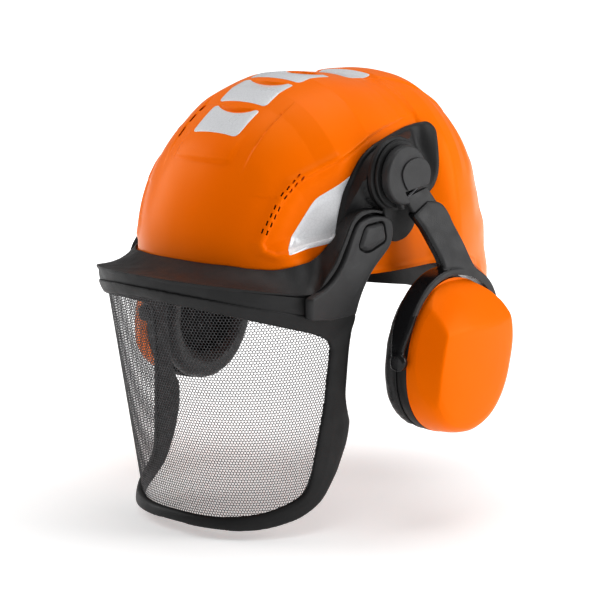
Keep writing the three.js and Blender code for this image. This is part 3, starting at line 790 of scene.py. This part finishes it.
def build_housing():
    profile = [(98.1, 8), (98.1, 19.8), (98.7, 20.5), (103.7, 20.5), (104.5, 20.1), (104.95, 19.2),
               (104.95, 8)]
    disc = outward(lathe(profile, 128))
    prongs = []
    for side in (-1, 1):
        rings = [section(arm_point(a, 101.3, side * 13.4), 5.4, w, 1.2, ACROSS, ARM_SIDE)
                 for a, w in ((6, 3.0), (13, 3.2), (17.5, 2.8), (19.5, 1.6))]
        prongs.append(solid(rings))
    slot = [(-22.5, 58.6), (2.6, 61.6), (9, 54), (18, 38), (-2, 30), (-13, 44)]
    pair("muff_housing", merged(disc, *prongs), "muff_hub_{}", "grey_plastic", 35, skin=(0.45, 1, 0.4),
         tool=plate(np.array(slot, float), [(98.3, 0), (125, 0)]))
    leaf = rounded([(-20.5, 59.3), (-25.2, 66), (-27, 72), (-24, 77.5), (-17, 81), (-8, 81.5), (0, 78),
                    (4.2, 71), (2, 62)], [1, 4, 8, 8, 8, 8, 8, 5, 1.5], 1.2)
    steps = [(104.6, 0.0), (105.9, 0.0), (106.1, 0.3), (106.1, 0.9)]
    pair("hub_cap", plate(leaf, steps), "muff_hub_{}", "grey_plastic", 30)


def blade_x(along):
    return np.interp(along, [10, 18, 26, 63], [101.2, 101.6, 104, 122.5])


def build_blade():
    """A bent strip whose upper end is seen in the housing's slot."""
    rings = []
    for part in np.linspace(0, 1, 44):
        left = mix(np.array([-19.5, 53.8]), np.array([0.0, 14.0]), part)
        right = mix(np.array([3.0, 59.0]), np.array([18.5, 22.0]), part)
        ends = []
        for p in (left, right):
            along = (p[0] - HUB_Y) * ARM_WAY[1] + (p[1] - HUB_Z) * ARM_WAY[2]
            ends.append(np.array([blade_x(along), *p]))
        wide = np.linalg.norm(ends[1] - ends[0])
        thick = np.interp(part, [0, 0.06, 0.12, 0.25, 0.45], [2.6, 3.6, 4.6, 4.6, 3.4])
        rings.append(section((ends[0] + ends[1]) / 2, thick, wide, 1.2, ACROSS, (ends[1] - ends[0]) / wide))
    pair("muff_blade", loft(rings), "muff_arm_{}", "grey_plastic")


build_housing()
build_blade()

# ---- Ear muffs. A point of a cup is given as back and up from its middle, and a depth outwards.
CUP_Y, CUP_Z, CUP_FACE, CUP_WIDE, CUP_HIGH = 1.0, -56.0, 102.5, 46.0, 54.0
LEAN = math.radians(14)


def cup_at(back, up, depth):
    return np.array([
        CUP_FACE + depth, CUP_Y + back * math.cos(LEAN) + up * math.sin(LEAN),
        CUP_Z - back * math.sin(LEAN) + up * math.cos(LEAN),
    ])


def cup_outline(scale, proud, count):
    turn = circle(count)
    return np.stack([
        (CUP_WIDE * scale + proud) * signed_power(np.cos(turn), 0.92),
        (CUP_HIGH * scale + proud) * signed_power(np.sin(turn), 0.92),
    ], 1)


def cup_ring(scale, depth, proud, count):
    depths = np.broadcast_to(depth, count)
    return np.array([cup_at(*p, d) for p, d in zip(cup_outline(scale, proud, count), depths)])


def soft_min(a, b, k):
    h = np.clip(0.5 + 0.5 * (b - a) / k, 0, 1)
    return b + (a - b) * h - k * h * (1 - h)


def cover_depth(b, u, scale):
    """The cover's outside: a bowl trimmed by softly creased facets."""
    bowl = np.interp(scale, [0, 0.5, 0.7, 0.82, 0.9, 0.95, 0.985, 1],
                     [51, 51, 50.2, 48.6, 46, 42.4, 36, 24.6])
    fuller = np.interp(scale, [0.5, 0.8, 0.95, 0.985, 1], [0, 2.5, 6.5, 7, 0])
    bowl = bowl + fuller * smoothstep(u, 0, 36) * 0.6
    face = 50.2 - ((b - 4) ** 2 + (u + 4) ** 2) / 620
    wall = 47.3 + 1.75 * (b + 35.6 - 0.0045 * (u + 2) ** 2)
    above = u - 24.6 - 0.19 * b + 0.009 * np.minimum(b + 8, 0) ** 2
    brow = 48.0 - 0.46 * above - 0.0125 * np.maximum(above, 0) ** 2
    depth = soft_min(face, brow, 1.0)
    return soft_min(soft_min(depth, wall, 1.6), bowl, 3.0)


def under_cover(scale, depth, gap, count):
    """A ring at a depth, or at a gap below the cover's outside where that is lower."""
    b, u = cup_outline(scale, 0, count).T
    return cup_ring(scale, np.minimum(depth, cover_depth(b, u, scale) - gap), 0, count)


def build_cover():
    count = 144
    rings = []
    for scale in np.linspace(0.02, 1.0, 64) ** 0.8:
        b, u = cup_outline(scale, 0, count).T
        rings.append(cup_ring(scale, cover_depth(b, u, scale), 0, count))
    rings.append(cup_ring(1.0, 24.5, 0.25, count))
    for scale, depth in ((0.955, 24.5), (0.94, 30), (0.88, 36), (0.76, 42), (0.58, 46), (0.3, 47.5),
                         (0.04, 47.8)):
        rings.append(under_cover(scale, depth, 1.6 if scale < 0.95 else 0, count))
    pair("muff_cover", loft(rings), "muff_{}", "orange_plastic", 60)


def build_cup():
    outside = [(0.30, 43), (0.6, 42), (0.72, 40), (0.84, 35), (0.9, 30)]
    edge = [(0.915, 24.3), (0.975, 24.2), (1.0, 23.4), (1.005, 21.5), (1.0, 17), (0.985, 15.2), (0.95, 14.6),
            (0.76, 14.6), (0.75, 20)]
    hollow_side = [(0.74, 30), (0.70, 35), (0.5, 38.5), (0.3, 40)]
    rings = [under_cover(scale, depth, 2.4, 120) for scale, depth in outside]
    rings += [cup_ring(scale, depth, 0, 120) for scale, depth in edge]
    rings += [under_cover(scale, depth, 4.5, 120) for scale, depth in hollow_side]
    pair("muff_cup", loft(rings), "muff_{}", "black_plastic", 50)


def build_foam():
    profile = [(0.03, 20), (0.35, 19.2), (0.6, 18.8), (0.7, 19.6), (0.72, 24), (0.7, 30), (0.6, 33),
               (0.03, 34)]
    rings = [cup_ring(scale, depth, 0, 72) for scale, depth in profile]
    pair("muff_foam", loft(rings), "muff_{}", "foam", after=lambda obj: obj)


def swell(obj, cap, pressure, voxel):
    """Fills a pad with air for a moment, so its cover pulls into soft shapes."""
    remeshed(obj, voxel)
    applied(obj)
    before = np.array([v.co[:] for v in obj.data.vertices])
    mod = obj.modifiers.new("cloth", "CLOTH")
    mod.settings.use_pressure = True
    mod.settings.uniform_pressure_force = pressure
    mod.settings.effector_weights.gravity = 0
    mod.settings.quality = 6
    mod.settings.tension_stiffness = mod.settings.compression_stiffness = 25
    scene = bpy.context.scene
    mod.point_cache.frame_start, mod.point_cache.frame_end = 1, 20
    for frame_number in range(1, 21):
        scene.frame_set(frame_number)
    graph = bpy.context.evaluated_depsgraph_get()
    after = np.array([v.co[:] for v in obj.evaluated_get(graph).data.vertices])
    obj.modifiers.clear()
    scene.frame_set(1)
    moved = after - before
    moved *= np.minimum(1, cap * MM / (np.linalg.norm(moved, axis=1)[:, None] + 1e-12))
    for vertex, co in zip(obj.data.vertices, before + moved):
        vertex.co = co
    smoothed(obj, 3)
    mod = obj.modifiers.new("finer", "SUBSURF")
    mod.levels = mod.render_levels = 1
    applied(obj)
    shade(obj, 70)


def cup_band(profile, count):
    """A closed section, swept round the cup."""
    rings = np.array([cup_ring(scale, depth, 0, count) for scale, depth in profile])
    return loft(np.transpose(rings, (1, 0, 2)), closed=True, caps=False)


def build_cushion():
    profile = [
        (0.97, 13.6), (0.995, 11), (1.0, 7), (0.995, 3.6), (0.95, 1.2), (0.86, 0.4), (0.76, 0.6), (0.66, 3),
        (0.60, 8), (0.61, 12), (0.64, 13.8), (0.8, 14.2),
    ]
    obj = make("muff_cushion_visual_left", outward(cup_band(profile, 96)), 60)
    swell(obj, 1.6, 4.0, 4.5)
    verts = np.array([v.co[:] for v in obj.data.vertices]) / MM
    faces = [tuple(p.vertices) for p in obj.data.polygons]
    right = make("muff_cushion_visual_right", mirror((verts, faces)), 60)
    for side, made in (("left", obj), ("right", right)):
        piece(made, f"muff_{side}", "cushion_skin", f"muff_cushion_{side}")
    seam = [(0.965, 13.0), (0.995, 13.0), (1.0, 13.9), (0.99, 14.6), (0.95, 14.55)]
    pair("muff_cushion_edge", cup_band(seam, 120), "muff_{}", "black_plastic", 50, stands=False)


# The fork's two edges from its top down to the bow, as (y, z, x).
FORK_LEFT = [
    (-14.3, 43.6, 108.6), (-16.4, 41.7, 109.2), (-13.4, 36.5, 111.5), (-11.2, 31.8, 114.1),
    (-8.3, 21.7, 119.1), (-5.5, 10.9, 124.4), (-5.8, 4.2, 127.1), (-9, -2.1, 128.7), (-17.6, -8.3, 129.4),
    (-28.3, -16, 129.8), (-37.5, -25.4, 129.8), (-43, -36, 129),
]
FORK_RIGHT = [
    (-1, 50.4, 108.8), (8.6, 48.4, 111.6), (12.4, 42.5, 115.4), (14.2, 33.6, 119.5), (17.3, 22.2, 125.1),
    (22.6, 6, 130.5), (26.9, 1.4, 131.3), (35.9, -4.4, 131.5), (43.7, -12.2, 131.5), (50.2, -23.8, 131),
    (53, -36, 130),
]


def build_fork():
    left, right = curve(FORK_LEFT, 44), curve(FORK_RIGHT, 44)
    rings = []
    for a, b in zip(left, right):
        p, q = np.array([a[2], a[0], a[1]]), np.array([b[2], b[0], b[1]])
        middle, sideways = (p + q) / 2 - ACROSS * 3.9, (q - p) / np.linalg.norm(q - p)
        rings.append(section(middle, 7.8, np.linalg.norm(q - p), 2.0, ACROSS, sideways, 3))
    bodies = [solid(rings)]
    turn = np.linspace(math.radians(-13), math.radians(193), 120)
    bow = []
    for t in turn:
        end = min(1.0, min(t - turn[0], turn[-1] - t) / 0.5)
        x = mix(117.5, 113.5, smoothstep(end, 0, 1))
        wide = mix(8.0, 16.9 + 0.8 * math.cos(t), smoothstep(end, 0, 1))
        ring = []
        for proud, dx in ((2.3, 0.8), (3.0, 0), (5.8, 0), (7.0, 1.2), (7.0, wide - 1.2), (5.8, wide),
                          (3.0, wide), (2.3, wide - 0.8)):
            b = (CUP_WIDE + proud) * signed_power(math.cos(t), 0.92)
            u = (CUP_HIGH + proud) * signed_power(math.sin(t), 0.92)
            ring.append(cup_at(b, u, x + dx - CUP_FACE))
        bow.append(ring)
    bodies.append(solid(bow))
    for t in (turn[0] + 0.06, turn[-1] - 0.06):
        b, u = CUP_WIDE * math.cos(t), CUP_HIGH * math.sin(t)
        way = unit(cup_at(b, u, 0) - cup_at(0, 0, 0))
        sideways = np.cross(way, ACROSS)
        at = cup_at(b, u, 123.5 - CUP_FACE)
        rings = []
        for d, r in ((2.3, 5.8), (3.2, 6.6), (6.6, 6.6), (7.6, 5.6), (7.8, 2.0)):
            rings.append([at + way * d + ACROSS * r * math.cos(v) + sideways * r * math.sin(v)
                          for v in circle(28)])
        bodies.append(solid(rings))
    forks = pair("muff_fork", merged(*bodies), "muff_yoke_{}", "grey_plastic", 45, skin=(0.8, 5),
                 tool=loft([cup_ring(1, depth, 2.2, 120) for depth in (-20, 80)]))
    # Faces that do not face outwards, and all below z -22 mm, take the near-black second material: painted
    # shade on the fork's sides that face away from the light.
    for obj, (_, sign) in zip(forks, SIDES):
        obj.data.materials.append(LOOKS["painted_shade_gloss_black"])
        for face in obj.data.polygons:
            face.material_index = 0 if face.normal.x * sign > 0.35 and face.center.z > -0.022 else 1


build_cover()
build_cup()
build_foam()
build_cushion()
build_fork()

# ---- Peak and face screen. A point of the screen's surface is given as a turn round the face,
# 0 in front and 90 at the left, and a part of its height, 0 at the top and 1 at the bottom.
TOP = dict(half=88.0, rear=-54.0, front=-173.0, level=-6.7, slope=-0.34)
BOTTOM = dict(half=78.0, rear=-60.0, front=-143.0, level=-163.5, slope=0.3)
BRIM = dict(half=93.0, rear=-52.0, front=-179.0, level=10.0, slope=-0.19)


def face_curve(kind, turn, proud):
    a = np.radians(np.clip(turn, -90, 90))
    beyond = np.abs(turn) - 90
    depth = kind["rear"] - kind["front"] + proud
    x = (kind["half"] + proud) * signed_power(np.sin(a), 2 / POWER)
    y = kind["rear"] - depth * signed_power(np.cos(a), 2 / POWER)
    z = kind["level"] + kind["slope"] * (y - kind["front"])
    return np.stack([x, y + np.maximum(beyond, 0), z], -1)


def screen_at(turn, part, proud):
    return mix(face_curve(TOP, turn, proud), face_curve(BOTTOM, turn, proud), part)


OPENING = [(0, 0.0), (20, 0.004), (43, 0.003), (60, -0.002), (72, -0.008), (78.2, 0.004), (80.3, 0.045),
           (80.2, 0.16), (79.8, 0.32), (79.5, 0.42), (78.7, 0.53), (77.7, 0.63), (76.4, 0.75), (75.1, 0.85),
           (73.6, 0.92), (71, 0.975), (66.3, 1.004), (57, 1.013), (47.5, 1.015), (35, 1.008), (19, 0.997),
           (4, 0.988), (0, 0.987)]
FRAME_EDGE = [(0, -0.045), (20, -0.05), (43, -0.065), (60, -0.09), (72, -0.12), (80, -0.17), (87.3, -0.24),
              (86.9, -0.10), (86.7, 0.03), (86.9, 0.2), (87.3, 0.36), (88.6, 0.47), (90.4, 0.6), (90.0, 0.74),
              (88.4, 0.87), (86, 0.97), (80, 1.08), (70, 1.11), (58, 1.10), (42, 1.078), (22, 1.045),
              (5, 1.029), (0, 1.027)]


def build_frame():
    inner, outer = curve(OPENING, 150), curve(FRAME_EDGE, 150)
    profile = [(0.0, -1.6), (0.0, 1.2), (0.05, 2.2), (0.16, 2.9), (0.45, 3.9), (0.8, 4.6), (0.94, 4.4),
               (1.0, 3.4), (1.0, -0.6), (0.93, -1.6)]
    half = [[screen_at(*mix(a, b, t), proud) for t, proud in profile] for a, b in zip(inner, outer)]
    obj = make("screen_frame_visual", both_halves(half, closed=True), 50)
    fused(obj, 0.9, 3)
    piece(obj, "visor", "black_plastic", "screen_frame")


build_frame()

# The brim's inner and outer edges from the middle to the left arm.
I_LINE = [
    (0, -141, 14.5), (25, -138, 13.5), (46, -128, 12), (60, -115, 11), (70, -101, 12.5), (77, -90, 15),
    (80, -82, 18.5), (81.5, -75, 24), (82, -69, 31), (82.5, -64, 38.5), (83.5, -58, 44.5), (85, -50, 48.5),
    (86.5, -42, 50), (88, -34, 48),
]
O_LINE = [
    (0, -179.6, 10), (29.2, -176.4, 9.5), (54.5, -163.4, 7.2), (72.6, -142.2, 3.2), (82.7, -122, -0.6),
    (88.8, -104, -3.4), (92.6, -97, -0.6), (94.6, -89.2, 5.5), (95.5, -81.2, 13.8), (95.6, -74.9, 23.4),
    (95.8, -69.9, 31.8), (96, -64.4, 40.8), (96.4, -56.8, 45.4), (96.6, -46.8, 46.6), (95, -35, 44.2),
]


def build_brim():
    """The brim, whose edge turns flat to the side where it rises along the arm."""
    count = 120
    inner, outer = curve(I_LINE, count), curve(O_LINE, count)
    roots = np.array([near_shell(a, 0.9) for a in inner])
    overs = np.array([near_shell(a, 2.0) + np.array([0, 0, 0.6]) for a in inner])
    for _ in range(12):
        for line in (roots, overs):
            line[1:-1] = (line[:-2] + 2 * line[1:-1] + line[2:]) / 4
    half = []
    for k in range(count):
        root, over, b = roots[k], overs[k], outer[k]
        ahead = outer[min(k + 1, count - 1)] - outer[max(k - 1, 0)]
        normal = np.array([0, -ahead[2], ahead[1]])
        normal /= np.linalg.norm(normal) + 1e-9
        rise = smoothstep(b[2], -2.5, 7) * (b[1] > -100)
        thick = 3.4 * mix(1, 0.6, smoothstep(b[1], -62, -45))
        corner = b + normal * thick * rise - ACROSS * 0.8 * rise
        across = corner - over
        reach = np.linalg.norm(across)
        sag = min(2.6, reach * 0.09)
        ring = [root] + [over + across * t - UP * sag * math.sin(math.pi * t)
                         for t in (0.0, 0.12, 0.3, 0.5, 0.7, 0.85, 0.95)]
        way = across / reach
        step = inner[min(k + 1, count - 1)] - inner[max(k - 1, 0)]
        side = unit(np.cross(step, way))
        if side @ (UP + ACROSS * 0.5) > 0:
            side = -side
        ring += [corner, mix(corner, b, 0.2) + ACROSS * 0.5 * rise, b]
        under = unit(mix(side, -ACROSS, rise))
        ring += [b + under * 1.2 + way * 0.3 * (1 - rise), b + under * 2.8 - way * 0.4,
                 b + under * 3.4 - way * 3, over + across * 0.5 + side * 3.4, root + side * 3.2]
        half.append(ring)
    piece(make("peak_brim", both_halves(half), 38), "visor", "black_plastic", "peak")


def build_band():
    """The lip under the brim's edge, from one side to the other."""
    half = []
    for turn in np.linspace(0, 76, 120):
        edge = face_curve(BRIM, turn, 0.0)
        edge[2] = max(edge[2], -3.8) - 1.0
        foot = face_curve(TOP, turn, 4.2)
        low = foot[2] + 6.2 + 2.4 * smoothstep(turn, 55, 76)
        ring = []
        for t, proud in ((0, -3), (0, -0.5), (0.04, 0.4), (0.5, 0.6), (0.9, 0.3), (1.0, -0.4), (1.02, -1.6),
                         (1.0, -3.4), (0.5, -3.2)):
            p = edge + (foot - edge) * t
            p[2] = mix(edge[2], low, t)
            ring.append(p + unit(np.array([p[0], (p[1] + 52) * 0.7, 0])) * proud)
        half.append(ring)
    piece(make("peak_band", both_halves(half), 38), "visor", "black_plastic")


# Outlines of the side arm and its button, seen from the left, as (y, z).
ARM = [
    (-55.5, 42.8), (-47, 44.2), (-37, 43.2), (-30, 41), (-26.5, 37.5), (-25.5, 32), (-26, 26), (-29, 20.5),
    (-36, 15), (-45, 8), (-53, -1), (-57.5, -11), (-61, -23), (-87, -23), (-106, -20), (-108, -5),
    (-96, -1.4), (-85.4, 5), (-76.6, 15.2), (-70.8, 25.4), (-67, 33.4), (-62.5, 39.8),
]
BUTTON = [(-62, 24), (-55, 38), (-36, 39), (-33, 25.5), (-52, 19.5)]


def arm_x(z):
    return np.interp(z, [-30, -16, -1, 16, 45], [94.0, 95.2, 97.0, 97.5, 97.4])


def arm_place(p, h):
    return np.stack([arm_x(p[:, 1]) + h, p[:, 0], p[:, 1]], 1)


def build_arms():
    outline = rounded(ARM, [5, 5, 6, 4, 4, 5, 4, 4, 6, 8, 8, 5, 2, 2, 2, 2, 5, 8, 10, 10, 8, 6], 1.2)
    steps = [(-7, 1.2), (-7, 0.2), (-5.5, 0), (-1.6, 0), (-0.5, 0.4), (-0.1, 1.2), (0, 2.2)]
    pocket = rounded(BUTTON, [4, 4, 4, 4, 5], 1.0)
    pair("peak_arm", plate(outline, steps, arm_place), "visor", "grey_plastic", 30, False,
         tool=plate(inset(pocket, -1.0), [(-4.8, 0), (4, 0)], arm_place), after=bevelled)
    steps = [(-2.4, 0.5), (-0.6, 0.4), (-0.2, 0.7), (0.9, 2.3), (1.1, 2.8)]
    pair("release_button", plate(pocket, steps, arm_place), "visor_button_{}", "grey_plastic", 30)


build_brim()
build_band()
build_arms()


def build_screen():
    """A sheet of hexagonal holes, in a few upright strips."""
    pitch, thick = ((2.2, 0.22))
    turns = np.linspace(-84, 84, 1200)
    line = screen_at(turns, 0.5, 0.0)
    lengths = np.concatenate([[0], np.cumsum(np.linalg.norm(np.diff(line, axis=0)[:, :2], axis=1))])
    lengths -= lengths[-1] / 2
    row_step = pitch * math.sqrt(3) / 2

    def surface(s, z, proud):
        turn = np.interp(s, lengths, turns)
        top, low = face_curve(TOP, turn, proud), face_curve(BOTTOM, turn, proud)
        part = (top[:, 2] - z) / (top[:, 2] - low[:, 2])
        return mix(top, low, part[:, None]), part

    rows = int(175 / row_step)
    columns = int(lengths[-1] * 2 / pitch)
    s, z = np.meshgrid(np.arange(columns) * pitch - lengths[-1], -3 - np.arange(rows) * row_step)
    s = s + (np.arange(rows)[:, None] % 2) * pitch / 2
    s, z = s.ravel(), z.ravel()
    _, part = surface(s, z, 0)
    turn = np.interp(s, lengths, turns)
    keep = (part > -0.02) & (part < 1.02) & (np.abs(turn) < 82.5)
    s, z, turn = s[keep], z[keep], turn[keep]
    angles = np.radians(np.arange(6) * 60 + 30)
    spokes = np.stack([np.cos(angles), np.sin(angles)], 1)
    cell = pitch / math.sqrt(3)
    bounds = np.quantile(s, np.linspace(0, 1, 5))
    for strip in range(4):
        last = strip == 3
        mine = (s >= bounds[strip]) & ((s <= bounds[strip + 1]) if last else (s < bounds[strip + 1]))
        middles = np.stack([s[mine], z[mine]], 1)[:, None]
        corners, holes = ((middles + size * spokes).reshape(-1, 2) for size in (cell, cell * 0.80))
        keys = np.round(corners / (pitch * 0.08)).astype(int)
        _, first, index = np.unique(keys, axis=0, return_index=True, return_inverse=True)
        flat = np.concatenate([corners[first], holes])
        total = len(flat)
        front, back = (surface(*flat.T, proud)[0] for proud in (-0.9, -0.9 - thick))
        a, d = index.reshape(-1, 6), np.arange(len(holes)).reshape(-1, 6) + len(first)
        b, c = np.roll(a, -1, 1), np.roll(d, -1, 1)
        quads = np.stack([a, b, c, d], 2).reshape(-1, 4)
        walls = np.stack([d, c, c + total, d + total], 2).reshape(-1, 4)
        edges = np.stack([a, b], 2).reshape(-1, 2)
        _, which, uses = np.unique(np.sort(edges, 1), axis=0, return_inverse=True, return_counts=True)
        start, end = edges[uses[which.ravel()] == 1].T
        rims = np.stack([end, start, start + total, end + total], 1)
        faces = np.concatenate([quads, quads[:, ::-1] + total, walls, rims])
        obj = make(f"screen_mesh_strip_{strip + 1}", (np.concatenate([front, back]), faces.tolist()), 30)
        piece(obj, "visor", "screen_sheet", None if strip else "screen_mesh")


build_screen()

# ---- Head harness and the pieces that keep their CAD shape
def upright(line, thick, low, high, round_edge):
    """A strap on edge along [x, y] points, with round edges and heights that may change with y."""
    line = np.asarray(line, float)
    ahead = np.gradient(line, axis=0)
    side = np.stack([ahead[:, 1], -ahead[:, 0], np.zeros(len(line))], 1)
    side /= np.linalg.norm(side, axis=1)[:, None]
    rings = []
    for (x, y), out in zip(line, side):
        bottom, top = (v(y) if callable(v) else v for v in (low, high))
        middle, tall = np.array([x, y, (bottom + top) / 2]), top - bottom
        rings.append(section(middle, thick, tall, min(round_edge, thick / 2 - 0.05), out, UP))
    return solid(rings)


BAND_HALF, BAND_FRONT, BAND_MID, BAND_TAIL = 77.0, -92.0, 4.0, 78.0


def band_line(shift, reach):
    a = np.radians(np.linspace(-reach, reach, 121))
    half, depth = BAND_HALF - shift, BAND_MID - BAND_FRONT - shift
    return np.stack([half * np.sin(a), BAND_MID - depth * np.cos(a)], 1)


def with_tails(line, half, start, end, count):
    """A bent line with a straight tail on each side, from start to end."""
    y = np.linspace(start, end, count)
    x = np.full(count, half)
    return np.vstack([np.stack([-x, y], 1), line, np.stack([x, y[::-1]], 1)])


def build_harness():
    def low(y):
        return float(np.interp(y, [-92, -45, -30, 12, 50], [-16, -11, -7, -14.4, -24]))

    def high(y):
        return float(mix(10, -6, smoothstep(y, 10, 50)))

    def soft(name, strap, swelling, body):
        obj = make(name + "_visual", strap, 70)
        swell(obj, swelling, 3.0, 2.4)
        piece(obj, body, "padding", name)

    band = with_tails(band_line(0, 90), BAND_HALF, BAND_TAIL, BAND_MID + 3, 24)
    single("headband", upright(band, 2.0, low, high, 0.8), "helmet", "black_plastic")
    pad = upright(band_line(4, 68), 5.0, lambda y: low(y) + 1.6, 8.2, 2.2)
    soft("sweatband", pad, 0.9, "helmet")
    turn = np.linspace(0, math.pi, 81)
    half, bend, rear = BAND_HALF - 2.6, 74.0, 116.0
    yoke = np.stack([-half * np.cos(turn), bend + (rear - bend) * np.sin(turn)], 1)
    line = with_tails(yoke, half, 52, bend - 1, 12)
    single("nape_yoke", upright(line, 2.2, -26, -5, 0.9), "nape_slider", "black_plastic")
    inner = yoke[14:-14] * np.array([0.97, 1]) - np.array([0, 4.0])
    soft("nape_pad", upright(inner, 4.5, -24, -7, 2.0), 0.8, "nape_slider")
    count, rings = 288, []
    around = circle(count)
    ribs = 0.5 + 0.5 * np.cos(18 * around)
    for y, radius, deep in ((117.5, 12.5, 0), (117.5, 14, 0.3), (118.6, 15, 1), (128.4, 15, 1),
                            (129.7, 14.2, 0.7), (130.4, 12.6, 0), (130.2, 11.4, 0), (129.2, 10.4, 0),
                            (128.9, 4, 0), (128.9, 1, 0)):
        r = radius - deep * (1 - ribs) ** 2
        rings.append(np.stack([r * np.cos(around), np.full(count, y), -15.5 + r * np.sin(around)], 1))
    single("nape_knob", loft(rings), "nape_knob", "black_plastic", 35)


build_harness()

SLOT_OF = {row["node"]: row["material_slot"] for row in frame["record"]["subparts"]}
for node, obj in frame["nodes"].items():
    obj.data.materials.clear()
    obj.data.materials.append(LOOKS[SLOT_OF[node]])

# ---- Floor and light


def stage():
    mesh = bpy.data.meshes.new("floor")
    low = CAD_BOX[0][2] - 0.0006
    mesh.from_pydata([(-9, -9, low), (9, -9, low), (9, 9, low), (-9, 9, low)], [], [(0, 1, 2, 3)])
    floor = linked("floor", mesh)
    look = Look("floor", (0.82, 0.82, 0.82), 0.9, Specular_IOR_Level=0.1)
    # The floor glows, weakly near the middle and fully from 1.2 m out: painted light that keeps the far floor
    # white where the lamps fall off.
    away = look.node("VectorMath", {0: look.coord}, operation="LENGTH").outputs["Value"]
    look.shader.inputs["Emission Color"].default_value = (1, 1, 1, 1)
    look.tree.links.new(look.span(away, 0.42, 1.0, 0.35, 1.2), look.shader.inputs["Emission Strength"])
    mesh.materials.append(look.mat)


def lamp(name, at, aim, size, power, tall=None):
    data = bpy.data.lights.new(name, "AREA")
    data.shape, data.size, data.energy = "RECTANGLE", size, power
    data.size_y = tall or size
    obj = linked(name, data)
    obj.location = at
    obj.rotation_euler = (Vector(aim) - Vector(at)).to_track_quat("-Z", "Y").to_euler()


stage()
lamp("top", (0.1, 0.2, 1.5), (0, 0, 0), 1.3, 13)
lamp("left", (-1.5, -0.6, 0.7), (0, 0, 0), 1.1, 11.5, 1.4)
lamp("right_rear", (1.45, 0.95, 0.6), (0, 0, 0), 0.9, 16, 1.2)
world = bpy.data.worlds.new("world")
bpy.context.scene.world = world
world.use_nodes = True
world.node_tree.nodes["Background"].inputs["Color"].default_value = (1, 1, 1, 1)
world.node_tree.nodes["Background"].inputs["Strength"].default_value = 0.30
bpy.context.scene.view_settings.view_transform = "Standard"
bpy.context.scene.view_settings.gamma = 0.85
